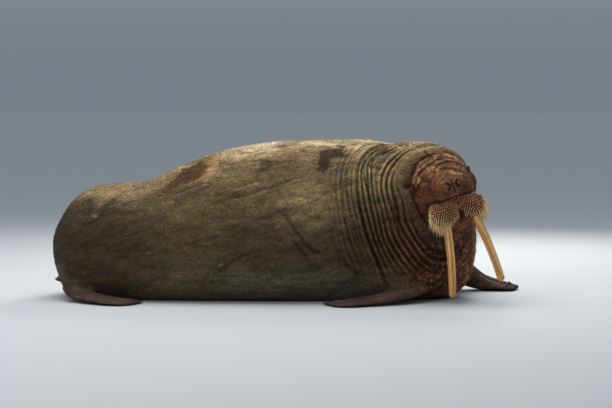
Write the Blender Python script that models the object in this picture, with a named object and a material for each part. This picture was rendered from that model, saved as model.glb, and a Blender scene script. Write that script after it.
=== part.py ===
"""A life-size adult walrus that rests on its belly with its head turned to its right.

Metres, +Z up. +X runs from the rump to the chest, the animal's left side is +Y, and the floor is z = 0.
The origin is on the flat of the belly. The flesh is lofted whole from named sections, and is then parted
into rump, torso, chest, neck and head by thin cuts.
"""
import math
import random

import bmesh
import bpy
from mathutils import Matrix, Vector

GAP = 0.0003
FAR = 6.0
SEED = 7

# Body sections, rump to chest: x, half width, top, height of the widest level, underside.
BODY = (
    (-1.330, 0.015, 0.330, 0.300, 0.270),
    (-1.312, 0.120, 0.392, 0.295, 0.190),
    (-1.270, 0.205, 0.484, 0.290, 0.070),
    (-1.200, 0.285, 0.576, 0.280, 0.000),
    (-1.080, 0.350, 0.650, 0.280, -0.020),
    (-0.930, 0.385, 0.678, 0.285, -0.025),
    (-0.780, 0.410, 0.690, 0.290, -0.030),
    (-0.560, 0.455, 0.785, 0.310, -0.030),
    (-0.300, 0.495, 0.882, 0.335, -0.030),
    (0.000, 0.520, 0.930, 0.350, -0.030),
    (0.300, 0.515, 0.945, 0.360, -0.030),
    (0.560, 0.490, 0.932, 0.365, -0.030),
    (0.760, 0.455, 0.885, 0.360, -0.025),
    (0.930, 0.400, 0.800, 0.350, -0.015),
    (1.060, 0.325, 0.690, 0.340, 0.010),
    (1.158, 0.210, 0.560, 0.335, 0.110),
    (1.195, 0.090, 0.440, 0.330, 0.235),
    (1.202, 0.012, 0.345, 0.330, 0.315),
)
BODY_AROUND = 40
BODY_STEPS = 2
BODY_UPPER_POWER = 2.15
BODY_LOWER_POWER = 2.7
RUMP_END = -0.72
TORSO_END = 0.25

# The head's own frame: its origin is midway between the eyes.
EYES_MIDDLE = Vector((0.968, -0.360, 0.722))
HEAD_YAW = math.radians(14)
HEAD_PITCH = math.radians(1)
HEAD_ROLL = math.radians(17.5)

# Neck sections, chest to collar: centre, turn from +X to the right, tilt, half width right and left, up, down.
NECK = (
    ((0.500, 0.000, 0.530), 0, 0, 0.360, 0.360, 0.320, 0.320),
    ((0.640, -0.005, 0.555), 18, 1, 0.375, 0.350, 0.330, 0.340),
    ((0.755, -0.040, 0.585), 38, 4, 0.370, 0.335, 0.330, 0.345),
    ((0.845, -0.115, 0.608), 56, 9, 0.330, 0.285, 0.308, 0.335),
    ((0.905, -0.195, 0.632), 68, 13, 0.288, 0.247, 0.288, 0.320),
    ((0.938, -0.262, 0.648), 76, 16, 0.258, 0.222, 0.264, 0.305),
    ((0.950, -0.300, 0.652), 76, 17, 0.230, 0.202, 0.240, 0.290),
    ((0.958, -0.322, 0.652), 76, 17, 0.198, 0.184, 0.212, 0.262),
)
NECK_AROUND = 36
NECK_STEPS = 3
NECK_POWER = 2.1
NECK_FOLD = 0.007
NECK_FOLDS_START = 3.0
NECK_CUT_POINT = Vector((0.76, 0.0, 0.62))
NECK_CUT_NORMAL = Vector((0.60, -0.40, 0.69)).normalized()

# Head sections, occiput to nose: forward, half width, top, bottom, in the head's frame.
HEAD = (
    (-0.044, 0.178, 0.142, -0.318),
    (-0.020, 0.176, 0.136, -0.312),
    (0.020, 0.168, 0.116, -0.300),
    (0.060, 0.158, 0.088, -0.285),
    (0.100, 0.148, 0.064, -0.262),
    (0.140, 0.134, 0.044, -0.225),
    (0.175, 0.112, 0.026, -0.180),
    (0.200, 0.082, 0.006, -0.140),
    (0.214, 0.045, -0.018, -0.100),
    (0.219, 0.010, -0.045, -0.065),
)
HEAD_AROUND = 36
HEAD_STEPS = 2
HEAD_POWER = 2.3
NECK_TO_HEAD = -0.0445

EYE_RADIUS = 0.020
EYE_SIDE = 0.160
EYE_FORWARD = 0.012
EYE_FACING = Vector((0.90, 0.10, 0.42)).normalized()
LID_RADIUS = 0.023
LID_THICKNESS = 0.0085
LID_NARROWNESS = 0.72
LID_LIFT = 0.0125
BROW_RADII = (0.042, 0.046, 0.027)
BROW_SINK = 0.018
LID_AROUND = 14
LID_SIDES = 6
EAR_UP = 0.100
EAR_FORWARD = -0.080
EAR_RADII = (0.010, 0.007, 0.016)

# Each nostril is an arc about a point beside the middle of the nose, thickest at its middle.
NOSTRIL_SIDE = 0.036
NOSTRIL_UP = -0.026
NOSTRIL_FORWARD = 0.206
NOSTRIL_SLOPE = 0.35
NOSTRIL_RADIUS = 0.016
NOSTRIL_SWEEP = math.radians(110)
NOSTRIL_STEPS = 8
NOSTRIL_SLIT = 0.0045
NOSTRIL_ENDS = 0.35

# Whisker pads, in the head's frame.
PAD_SIDE = 0.082
PAD_UP = -0.178
PAD_FORWARD = 0.148
PAD_RADII = (0.088, 0.080, 0.092)
PAD_SPLAY = math.radians(18)
PAD_DROOP = math.radians(20)
BRISTLE_ROWS = 8
BRISTLES_IN_ROW = 8
BRISTLE_ROOT = 0.0048
BRISTLE_SINK = 0.012
BRISTLE_SHORT = 0.030
BRISTLE_LONG = 0.085
BRISTLE_CLEAR = 0.007
BRISTLE_TOP = 38
BRISTLE_SPAN = 92
BRISTLE_INNER = -38
BRISTLE_ARC = 118
BRISTLE_STRAY = 0.04
BRISTLE_HANG = Vector((0.25, -1.0, 0.25))

JAW_UP = -0.262
JAW_FORWARD = 0.118
JAW_RADII = (0.062, 0.044, 0.062)

# Tusks, in the head's frame: side, up, forward of the root, the middle and the tip.
TUSK_POINTS = (
    (0.080, -0.165, 0.152),
    (0.088, -0.228, 0.160),
    (0.115, -0.400, 0.158),
    (0.137, -0.540, 0.128),
    (0.153, -0.648, 0.088),
)
TUSK_ROOT_RADIUS = 0.0290
TUSK_TIP_RADIUS = 0.0225
TUSK_FLATNESS = 0.80
TUSK_AROUND = 14
TUSK_STEPS = 3
SOCKET_GAP = 0.0005

# Flippers: path points with half width and half thickness, from the root to the tips.
LEFT_ARM = (
    ((0.80, 0.250, 0.230), 0.125, 0.120),
    ((1.00, 0.340, 0.175), 0.110, 0.105),
    ((1.15, 0.385, 0.090), 0.096, 0.090),
    ((1.26, 0.402, 0.040), 0.098, 0.060),
    ((1.38, 0.402, 0.023), 0.116, 0.033),
    ((1.505, 0.397, 0.009), 0.120, 0.012),
)
RIGHT_ARM = (
    ((0.87, -0.200, 0.110), 0.110, 0.080),
    ((0.80, -0.375, 0.076), 0.098, 0.066),
    ((0.68, -0.485, 0.040), 0.088, 0.044),
    ((0.55, -0.545, 0.023), 0.096, 0.031),
    ((0.42, -0.590, 0.015), 0.114, 0.020),
    ((0.30, -0.625, 0.008), 0.118, 0.010),
)
RIGHT_FOOT = (
    ((-1.12, -0.150, 0.120), 0.090, 0.090),
    ((-1.17, -0.235, 0.082), 0.082, 0.068),
    ((-1.13, -0.335, 0.041), 0.080, 0.046),
    ((-1.03, -0.425, 0.023), 0.092, 0.031),
    ((-0.91, -0.490, 0.015), 0.114, 0.020),
    ((-0.78, -0.535, 0.008), 0.122, 0.010),
)
LEFT_FOOT = (
    ((-1.12, 0.150, 0.120), 0.090, 0.090),
    ((-1.18, 0.230, 0.082), 0.082, 0.068),
    ((-1.15, 0.330, 0.041), 0.080, 0.046),
    ((-1.07, 0.425, 0.023), 0.092, 0.031),
    ((-0.96, 0.500, 0.015), 0.114, 0.020),
    ((-0.84, 0.560, 0.008), 0.122, 0.010),
)
FLIPPER_TOP = 15
FLIPPER_UNDER = 5
FLIPPER_STEPS = 2
EDGE_POWER = 2.4
EDGE_ROUNDNESS = 0.6
SOLE_DEPTH = 0.6
TIP_SLANT = 0.07
DIGITS = 5
DIGIT_RISE = 0.38
WEB_NOTCH = 0.045
DIGITS_START = 0.42
CLAW_PLACE = 0.86
CLAW_LENGTH = 0.024
CLAW_RADIUS = 0.0055

TAIL_POINT = Vector((-1.262, 0.0, 0.105))
TAIL_RADII = (0.060, 0.042, 0.026)

COLOURS = {
    "hide": ((0.23, 0.17, 0.11), 0.75),
    "face_hide": ((0.20, 0.11, 0.07), 0.70),
    "flipper_hide": ((0.09, 0.06, 0.05), 0.70),
    "whiskers": ((0.62, 0.50, 0.34), 0.55),
    "ivory": ((0.72, 0.56, 0.34), 0.40),
    "eye": ((0.03, 0.015, 0.012), 0.15),
}


def clear_scene():
    for obj in list(bpy.data.objects):
        bpy.data.objects.remove(obj, do_unlink=True)


def collection(name):
    made = bpy.data.collections.new(name)
    bpy.context.scene.collection.children.link(made)
    return made


def material(name):
    colour, roughness = COLOURS[name]
    made = bpy.data.materials.new(name)
    made.use_nodes = True
    shader = made.node_tree.nodes["Principled BSDF"]
    shader.inputs["Base Color"].default_value = (*colour, 1.0)
    shader.inputs["Roughness"].default_value = roughness
    shader.inputs["Metallic"].default_value = 0.0
    return made


def smooth(rows, t):
    """The row of numbers at place t of a table, 0 at its first row, on a smooth curve through the rows."""
    last = len(rows) - 1
    i = min(int(t), last - 1)
    f = t - i
    before, start, end, after = (rows[min(max(j, 0), last)] for j in (i - 1, i, i + 1, i + 2))
    found = []
    for a, b, c, d in zip(before, start, end, after):
        found.append(0.5 * (2 * b + (c - a) * f + (2 * a - 5 * b + 4 * c - d) * f * f
                            + (3 * b - 3 * c + d - a) * f ** 3))
    return found


def steps_through(rows, steps):
    """Places along a table, with this many steps from each row to the next."""
    count = (len(rows) - 1) * steps
    return [i / steps for i in range(count + 1)]


def powered(value, power):
    return math.copysign(abs(value) ** (2 / power), value)


def section(centre, left, up, sizes, powers, around):
    """A closed ring of points. Sizes are the reach to the right, left, up and down of the centre."""
    right_reach, left_reach, up_reach, down_reach = sizes
    upper, lower = powers
    ring = []
    for k in range(around):
        angle = 2 * math.pi * k / around
        side, rise = math.sin(angle), math.cos(angle)
        power = upper if rise > 0 else lower
        across = powered(side, power) * (left_reach if side > 0 else right_reach)
        ring.append(centre + left * across + up * powered(rise, power) * (up_reach if rise > 0 else down_reach))
    return ring


def mesh_object(name, points, faces, where):
    mesh = bpy.data.meshes.new(name)
    mesh.from_pydata([tuple(p) for p in points], [], faces)
    work = bmesh.new()
    work.from_mesh(mesh)
    bmesh.ops.remove_doubles(work, verts=work.verts, dist=1e-6)
    bmesh.ops.recalc_face_normals(work, faces=work.faces)
    work.to_mesh(mesh)
    work.free()
    obj = bpy.data.objects.new(name, mesh)
    where.objects.link(obj)
    return in_triangles(obj)


def loft(name, rings, where):
    """A closed skin over rings of equal count, with a fan of faces at each end."""
    around = len(rings[0])
    points = [p for ring in rings for p in ring]
    faces = []
    for r in range(len(rings) - 1):
        for k in range(around):
            n = (k + 1) % around
            faces.append((r * around + k, r * around + n, (r + 1) * around + n, (r + 1) * around + k))
    for first, ring in ((0, rings[0]), ((len(rings) - 1) * around, rings[-1])):
        points.append(sum(ring, Vector()) / around)
        middle = len(points) - 1
        faces += [(first + k, first + (k + 1) % around, middle) for k in range(around)]
    return mesh_object(name, points, faces, where)


def ellipsoid(name, frame, radii, where, across=20, down=12):
    """A sphere stretched to three radii along the axes of a frame."""
    work = bmesh.new()
    bmesh.ops.create_uvsphere(work, u_segments=across, v_segments=down, radius=1.0)
    bmesh.ops.transform(work, matrix=frame @ Matrix.Diagonal((*radii, 1.0)), verts=work.verts)
    mesh = bpy.data.meshes.new(name)
    work.to_mesh(mesh)
    work.free()
    obj = bpy.data.objects.new(name, mesh)
    where.objects.link(obj)
    return in_triangles(obj)


def half_space(name, point, normal, where):
    """A large block that fills the side of a plane that the normal points to."""
    work = bmesh.new()
    bmesh.ops.create_cube(work, size=FAR)
    bmesh.ops.translate(work, vec=(0, 0, FAR / 2), verts=work.verts)
    turn = normal.to_track_quat("Z", "Y").to_matrix().to_4x4()
    bmesh.ops.transform(work, matrix=Matrix.Translation(point) @ turn, verts=work.verts)
    mesh = bpy.data.meshes.new(name)
    work.to_mesh(mesh)
    work.free()
    obj = bpy.data.objects.new(name, mesh)
    where.objects.link(obj)
    return obj


def take_evaluated(obj):
    """Applies an object's modifiers."""
    graph = bpy.context.evaluated_depsgraph_get()
    mesh = bpy.data.meshes.new_from_object(obj.evaluated_get(graph), depsgraph=graph)
    obj.modifiers.clear()
    obj.data = mesh
    return obj


def in_triangles(obj):
    """Splits every face into triangles, so that a grown copy keeps to the same flats."""
    work = bmesh.new()
    work.from_mesh(obj.data)
    bmesh.ops.triangulate(work, faces=work.faces)
    work.to_mesh(obj.data)
    work.free()
    return obj


def cut(obj, cutter, solver="EXACT"):
    modifier = obj.modifiers.new("cut", "BOOLEAN")
    modifier.operation = "DIFFERENCE"
    modifier.solver = solver
    modifier.object = cutter
    return in_triangles(take_evaluated(obj))


def join(obj, pieces, solver="EXACT"):
    """Fuses a collection of closed meshes into an object, and removes them."""
    modifier = obj.modifiers.new("join", "BOOLEAN")
    modifier.operation = "UNION"
    modifier.solver = solver
    modifier.operand_type = "COLLECTION"
    modifier.collection = pieces
    in_triangles(take_evaluated(obj))
    for piece in list(pieces.objects):
        bpy.data.objects.remove(piece, do_unlink=True)
    return obj


def keep_largest(obj):
    """Drops all but the largest of the closed surfaces, each found by crossing shared edges."""
    work = bmesh.new()
    work.from_mesh(obj.data)
    unseen = set(work.faces)
    shells = []
    while unseen:
        shell, edge = set(), [unseen.pop()]
        while edge:
            face = edge.pop()
            shell.add(face)
            near = {other for e in face.edges for other in e.link_faces} & unseen
            unseen -= near
            edge += near
        shells.append(shell)
    shells.sort(key=box_volume, reverse=True)
    loose = [face for shell in shells[1:] for face in shell]
    bmesh.ops.delete(work, geom=loose, context="FACES")
    work.to_mesh(obj.data)
    work.free()
    return obj


def box_volume(faces):
    """The volume of the box around some faces."""
    spans = []
    for axis in range(3):
        values = [v.co[axis] for face in faces for v in face.verts]
        spans.append(max(values) - min(values))
    return spans[0] * spans[1] * spans[2]


def copy_of(obj, name, where):
    made = obj.copy()
    made.data = obj.data.copy()
    made.name = name
    where.objects.link(made)
    return made


def grown(obj, where, by=GAP):
    """A helper copy with its surface moved outwards."""
    made = copy_of(obj, obj.name + "_grown", where)
    work = bmesh.new()
    work.from_mesh(made.data)
    work.normal_update()
    moves = [(v, v.normal.copy()) for v in work.verts]
    for vert, normal in moves:
        vert.co += normal * by
    work.to_mesh(made.data)
    work.free()
    return made


def head_axes():
    """The head's left, up and forward directions."""
    level = Vector((math.sin(HEAD_YAW), -math.cos(HEAD_YAW), 0.0))
    left = Vector((math.cos(HEAD_YAW), math.sin(HEAD_YAW), 0.0))
    forward = level * math.cos(HEAD_PITCH) - Vector((0, 0, 1)) * math.sin(HEAD_PITCH)
    up = forward.cross(left)
    turned_left = left * math.cos(HEAD_ROLL) + up * math.sin(HEAD_ROLL)
    turned_up = up * math.cos(HEAD_ROLL) - left * math.sin(HEAD_ROLL)
    return turned_left, turned_up, forward


HEAD_LEFT, HEAD_UP, HEAD_FRONT = head_axes()


def in_head(side, up, forward):
    """A point of the head's frame, in the part's frame."""
    return EYES_MIDDLE + HEAD_LEFT * side + HEAD_UP * up + HEAD_FRONT * forward


def head_frame(side, up, forward, turn=None):
    """A frame in the head whose X, Y and Z are the head's left, up and forward, turned as asked."""
    axes = Matrix((HEAD_LEFT, HEAD_UP, HEAD_FRONT)).transposed()
    if turn is not None:
        axes = axes @ turn
    return Matrix.Translation(in_head(side, up, forward)) @ axes.to_4x4()


def body_solid(where):
    rings = []
    for t in steps_through(BODY, BODY_STEPS):
        x, half_width, top, level, under = smooth(BODY, t)
        sizes = (half_width, half_width, top - level, level - under)
        powers = (BODY_UPPER_POWER, BODY_LOWER_POWER)
        ring = section(Vector((x, 0, level)), Vector((0, 1, 0)), Vector((0, 0, 1)), sizes, powers, BODY_AROUND)
        for point in ring:
            point.z = max(point.z, 0.0)
        rings.append(ring)
    return loft("body", rings, where)


def neck_solid(where):
    """The thick neck with its collar, from inside the chest to the crease behind the head."""
    rows = [(*centre, *rest) for centre, *rest in NECK]
    places = steps_through(NECK, NECK_STEPS)
    rings = []
    for i, t in enumerate(places):
        x, y, z, turn, roll, right, left_reach, up_reach, down = smooth(rows, t)
        heading = math.radians(turn)
        left = Vector((math.sin(heading), math.cos(heading), 0))
        up = Vector((0, 0, 1))
        lean = math.radians(roll)
        left, up = left * math.cos(lean) + up * math.sin(lean), up * math.cos(lean) - left * math.sin(lean)
        folded = NECK_FOLDS_START <= t < len(NECK) - 2
        swell = (NECK_FOLD if i % 2 else -NECK_FOLD) if folded else 0.0
        sizes = [size + swell for size in (right, left_reach, up_reach, down)]
        ring = section(Vector((x, y, z)), left, up, sizes, (NECK_POWER, NECK_POWER), NECK_AROUND)
        for point in ring:
            point.z = max(point.z, 0.0)
        rings.append(ring)
    return loft("neck", rings, where)


def head_solid(where):
    rings = []
    for t in steps_through(HEAD, HEAD_STEPS):
        forward, half_width, top, bottom = smooth(HEAD, t)
        middle = (top + bottom) / 2
        reach = (top - bottom) / 2
        sizes = (half_width, half_width, reach, reach)
        powers = (HEAD_POWER, HEAD_POWER)
        rings.append(section(in_head(0, middle, forward), HEAD_LEFT, HEAD_UP, sizes, powers, HEAD_AROUND))
    return loft("head", rings, where)


def eye_frame(side):
    """The eye's place, with Z along its gaze. Side is 1 on the animal's left and -1 on its right."""
    facing = HEAD_LEFT * EYE_FACING.x * side + HEAD_UP * EYE_FACING.y + HEAD_FRONT * EYE_FACING.z
    turn = facing.to_track_quat("Z", "Y").to_matrix().to_4x4()
    return Matrix.Translation(in_head(EYE_SIDE * side, 0, EYE_FORWARD)) @ turn


def lid_solid(side, where):
    """The ring of the two lids, narrower from top to bottom than along the eye."""
    frame = eye_frame(side)
    rings = []
    for i in range(LID_AROUND):
        angle = 2 * math.pi * i / LID_AROUND
        outward = Vector((math.cos(angle), LID_NARROWNESS * math.sin(angle), 0))
        centre = outward * LID_RADIUS + Vector((0, 0, LID_LIFT))
        ring = []
        for k in range(LID_SIDES):
            turn = 2 * math.pi * k / LID_SIDES
            ring.append(frame @ (centre + outward.normalized() * LID_THICKNESS * math.cos(turn)
                                 + Vector((0, 0, LID_THICKNESS * math.sin(turn)))))
        rings.append(ring)
    points = [p for ring in rings for p in ring]
    faces = []
    for i in range(LID_AROUND):
        for k in range(LID_SIDES):
            j, n = (i + 1) % LID_AROUND, (k + 1) % LID_SIDES
            faces.append((i * LID_SIDES + k, i * LID_SIDES + n, j * LID_SIDES + n, j * LID_SIDES + k))
    return mesh_object("lid", points, faces, where)


def tube(name, path, radii, around, where, flatness=1.0, side_hint=None):
    """A tube of changing radius along a path, with rounded-off ends made by the first and last radii."""
    rings = []
    for i, point in enumerate(path):
        ahead = path[min(i + 1, len(path) - 1)] - path[max(i - 1, 0)]
        ahead.normalize()
        side = ahead.cross(side_hint or Vector((0, 0, 1)))
        side = side.normalized() if side.length > 1e-6 else ahead.orthogonal().normalized()
        other = ahead.cross(side).normalized()
        ring = []
        for k in range(around):
            angle = 2 * math.pi * k / around
            ring.append(point + side * radii[i] * flatness * math.cos(angle) + other * radii[i] * math.sin(angle))
        rings.append(ring)
    return loft(name, rings, where)


def tusk_solid(side, name, where, extra=0.0):
    """A tusk: nearly straight, tapering to a blunt tip. Extra makes the socket that it sits in."""
    rows = [tuple(row) for row in TUSK_POINTS]
    places = steps_through(TUSK_POINTS, TUSK_STEPS)
    path, radii = [], []
    for t in places:
        share = t / (len(TUSK_POINTS) - 1)
        along, up, forward = smooth(rows, t)
        path.append(in_head(along * side, up, forward))
        radii.append(TUSK_ROOT_RADIUS + (TUSK_TIP_RADIUS - TUSK_ROOT_RADIUS) * share + extra)
    path[0] = path[0] - (path[1] - path[0]).normalized() * extra
    end = (path[-1] - path[-2]).normalized()
    for reach, share in ((0.008, 0.86), (0.014, 0.60), (0.017, 0.22)):
        path.append(path[len(places) - 1] + end * (reach + extra))
        radii.append(TUSK_TIP_RADIUS * share + extra)
    return tube(name, path, radii, TUSK_AROUND, where, TUSK_FLATNESS, HEAD_FRONT)


def nostril_cutter(side, where):
    """A crescent that opens towards the outside of the nose."""
    path, radii = [], []
    for i in range(NOSTRIL_STEPS + 1):
        share = i / NOSTRIL_STEPS
        angle = NOSTRIL_SWEEP * (2 * share - 1)
        across = NOSTRIL_SIDE - NOSTRIL_RADIUS * math.cos(angle)
        up = NOSTRIL_UP + NOSTRIL_RADIUS * math.sin(angle)
        path.append(in_head(across * side, up, NOSTRIL_FORWARD - NOSTRIL_SLOPE * across))
        radii.append(NOSTRIL_SLIT * (NOSTRIL_ENDS + (1 - NOSTRIL_ENDS) * math.sin(math.pi * share)))
    return tube("nostril", path, radii, 8, where, 1.0, HEAD_UP)


def pad_turn(side):
    splay = Matrix.Rotation(PAD_SPLAY * side, 3, "Y")
    droop = Matrix.Rotation(-PAD_DROOP * side, 3, "Z")
    return droop @ splay


def pad_solid(side, where):
    frame = head_frame(PAD_SIDE * side, PAD_UP, PAD_FORWARD, pad_turn(side))
    return ellipsoid("pad", frame, PAD_RADII, where, 22, 14)


def spike(name, path, radii, where):
    """A four-sided spike: its last point is its sharp tip."""
    points, faces = [], []
    beside = (path[1] - path[0]).orthogonal()
    for i, point in enumerate(path[:-1]):
        ahead = (path[i + 1] - path[max(i - 1, 0)]).normalized()
        across = ahead.cross(beside).normalized()
        other = ahead.cross(across)
        points += [point + (across * x + other * y) * radii[i] for x, y in ((1, 0), (0, 1), (-1, 0), (0, -1))]
    points.append(path[-1])
    rings = len(path) - 1
    faces.append((3, 2, 1, 0))
    for r in range(rings - 1):
        for k in range(4):
            n = (k + 1) % 4
            faces.append((r * 4 + k, r * 4 + n, r * 4 + 4 + n, r * 4 + 4 + k))
    last = rings * 4 - 4
    faces += [(last + k, last + (k + 1) % 4, rings * 4) for k in range(4)]
    return mesh_object(name, points, faces, where)


def stands_clear(point, others, margin):
    """Whether a point lies outside every one of the other bodies, by at least the margin."""
    for other in others:
        found, nearest, normal, _ = other.closest_point_on_mesh(point)
        if (point - nearest).dot(normal) < margin:
            return False
    return True


def bristle_solids(side, pad, others, where, rng):
    """Rows of stout bristles over the front and side of a pad, longest at its lower outer edge."""
    frame = head_frame(PAD_SIDE * side, PAD_UP, PAD_FORWARD, pad_turn(side))
    for row in range(BRISTLE_ROWS):
        down_share = row / (BRISTLE_ROWS - 1)
        height = math.radians(BRISTLE_TOP - BRISTLE_SPAN * down_share)
        for i in range(BRISTLES_IN_ROW):
            out_share = (i + 0.5 * (row % 2)) / (BRISTLES_IN_ROW - 0.5)
            around = math.radians(BRISTLE_INNER + BRISTLE_ARC * out_share)
            around += rng.uniform(-BRISTLE_STRAY, BRISTLE_STRAY)
            lift = height + rng.uniform(-BRISTLE_STRAY, BRISTLE_STRAY)
            normal = Vector((side * math.sin(around) * math.cos(lift), math.sin(lift),
                             math.cos(around) * math.cos(lift)))
            root = Vector([normal[a] * PAD_RADII[a] for a in range(3)])
            out = Vector([normal[a] / PAD_RADII[a] for a in range(3)]).normalized()
            length = BRISTLE_SHORT + (BRISTLE_LONG - BRISTLE_SHORT) * (0.55 * down_share + 0.45 * out_share) ** 2
            length *= rng.uniform(0.85, 1.1)
            hang = Vector((BRISTLE_HANG.x * side, BRISTLE_HANG.y, BRISTLE_HANG.z))
            middle = root + (out * 0.8 + hang * 0.35).normalized() * length * 0.5
            tip = middle + (out * 0.45 + hang * 0.75).normalized() * length * 0.5
            start = root - out * BRISTLE_SINK
            path = [frame @ p for p in (start, middle, tip)]
            found, nearest, *_ = pad.closest_point_on_mesh(frame @ root)
            rooted = (nearest - frame @ root).length < BRISTLE_ROOT / 2
            if rooted and all(stands_clear(p, others, BRISTLE_CLEAR) for p in path):
                spike("bristle", path, (BRISTLE_ROOT, BRISTLE_ROOT * 0.7), where)


def flipper_axes(rows, t, side):
    """The centre, forward, thumbward and upward directions, half width and half thickness of a flipper."""
    flat_rows = [(*point, width, thick) for point, width, thick in rows]
    *centre, width, thick = smooth(flat_rows, t)
    last = len(rows) - 1
    behind = Vector(smooth(flat_rows, max(t - 0.25, 0.0))[:3])
    beyond = Vector(smooth(flat_rows, min(t + 0.25, last))[:3])
    ahead = (beyond - behind).normalized()
    across = Vector((0, 0, 1)).cross(ahead).normalized() * side
    return Vector(centre), ahead, across, ahead.cross(across) * side, width, thick


def hand_share(rows, t):
    """How far a place along a flipper is into its hand, from 0 at the wrist to 1 at the tips."""
    return max(0.0, (t / (len(rows) - 1) - DIGITS_START) / (1 - DIGITS_START))


def edge_height(v):
    """How thick a flipper is across its width, from 1 at its middle to 0 at both edges, v = -1 and 1."""
    return (1 - abs(v) ** EDGE_POWER) ** EDGE_ROUNDNESS


def tip_slant(hand, v):
    """How far the flipper's end is set back towards the edge away from the thumb."""
    return TIP_SLANT * hand ** 2 * max(0.0, -v) ** 2


def flipper_solid(name, rows, side, where):
    """An arm or leg that flattens into a hand of five webbed digits. Side turns its thumb edge."""
    rings = []
    for t in steps_through(rows, FLIPPER_STEPS):
        centre, ahead, across, upward, width, thick = flipper_axes(rows, t, side)
        hand = hand_share(rows, t)
        ring = []
        for k in range(FLIPPER_TOP + FLIPPER_UNDER):
            on_top = k < FLIPPER_TOP
            v = 2 * k / FLIPPER_TOP - 1 if on_top else 1 - 2 * (k - FLIPPER_TOP) / FLIPPER_UNDER
            ridge = 1.0 if on_top and k % 3 else 0.0
            body = edge_height(v)
            rise = body * (1 + DIGIT_RISE * hand * (2 * ridge - 1)) if on_top else -SOLE_DEPTH * body
            notch = -WEB_NOTCH * (1 - ridge) * hand ** 3 - tip_slant(hand, v)
            point = centre + across * width * v + upward * thick * rise + ahead * notch
            point.z = max(point.z, 0.0)
            ring.append(point)
        rings.append(ring)
    return loft(name, rings, where)


def claw_solids(rows, side, where):
    """A small claw on the back of each digit, set back from the edge of the flipper."""
    t = (len(rows) - 1) * CLAW_PLACE
    centre, ahead, across, upward, width, thick = flipper_axes(rows, t, side)
    for digit in range(DIGITS):
        v = (2 * digit + 1) / DIGITS - 1
        hand = hand_share(rows, t)
        top = edge_height(v) * (1 + DIGIT_RISE * hand)
        root = centre + across * width * v + upward * thick * top - ahead * tip_slant(hand, v)
        path = [root - upward * CLAW_RADIUS - ahead * CLAW_LENGTH * 0.4, root + ahead * CLAW_LENGTH * 0.5,
                root + ahead * CLAW_LENGTH - upward * CLAW_RADIUS * 0.6]
        spike("claw", path, (CLAW_RADIUS, CLAW_RADIUS * 0.8), where)


def dress(obj, slot, materials, where):
    """Gives a finished node its material and smooth shading, in the object's own collection."""
    obj.data.materials.clear()
    obj.data.materials.append(materials[slot])
    obj.data.shade_smooth()
    obj.data.set_sharp_from_angle(angle=math.radians(50))
    for other in list(obj.users_collection):
        other.objects.unlink(obj)
    where.objects.link(obj)


def joined_flesh(helpers, pieces):
    """Body and neck in one skin, with a hollow that the head sits in and an ear opening on each side."""
    neck = neck_solid(pieces)
    cut(neck, half_space("before_neck", in_head(0, 0, NECK_TO_HEAD), HEAD_FRONT, helpers))
    whole = body_solid(helpers)
    join(whole, pieces)
    cut(whole, grown(head_solid(helpers), helpers, SOCKET_GAP))
    keep_largest(whole)
    for side in (1, -1):
        inside = in_head(0, EAR_UP, EAR_FORWARD)
        found, place, *_ = whole.ray_cast(inside, HEAD_LEFT * side)
        opening = Matrix.Translation(place - inside) @ head_frame(0, EAR_UP, EAR_FORWARD)
        cut(whole, ellipsoid("ear", opening, EAR_RADII, helpers, 10, 6))
    return whole


def lidded_head(helpers, pieces):
    """The head before its hollows are cut, with brows and lids."""
    head = head_solid(helpers)
    for side in (1, -1):
        brow = eye_frame(side) @ Matrix.Translation((0, 0, -BROW_SINK))
        ellipsoid("brow", brow, BROW_RADII, pieces, 14, 8)
        lid_solid(side, pieces)
    join(head, pieces)
    return cut(head, half_space("behind_head", in_head(0, 0, NECK_TO_HEAD + GAP), -HEAD_FRONT, helpers))


def parted_flesh(whole, helpers):
    """The flesh in four nodes, parted by planes a gap apart. Each plane's normal points to what is cut off."""
    along = Vector((1, 0, 0))
    rump_end, torso_end = along * RUMP_END, along * TORSO_END
    behind_torso, behind_chest = along * (RUMP_END + GAP), along * (TORSO_END + GAP)
    nodes = {}
    for name, planes in {
        "rump": ((rump_end, along),),
        "torso": ((behind_torso, -along), (torso_end, along)),
        "chest": ((behind_chest, -along), (NECK_CUT_POINT, NECK_CUT_NORMAL)),
        "neck": ((behind_chest, -along), (NECK_CUT_POINT + NECK_CUT_NORMAL * GAP, -NECK_CUT_NORMAL)),
    }.items():
        nodes[name] = copy_of(whole, name, helpers)
        for point, normal in planes:
            cut(nodes[name], half_space("side", point, normal, helpers))
        keep_largest(nodes[name])
    return nodes


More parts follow.
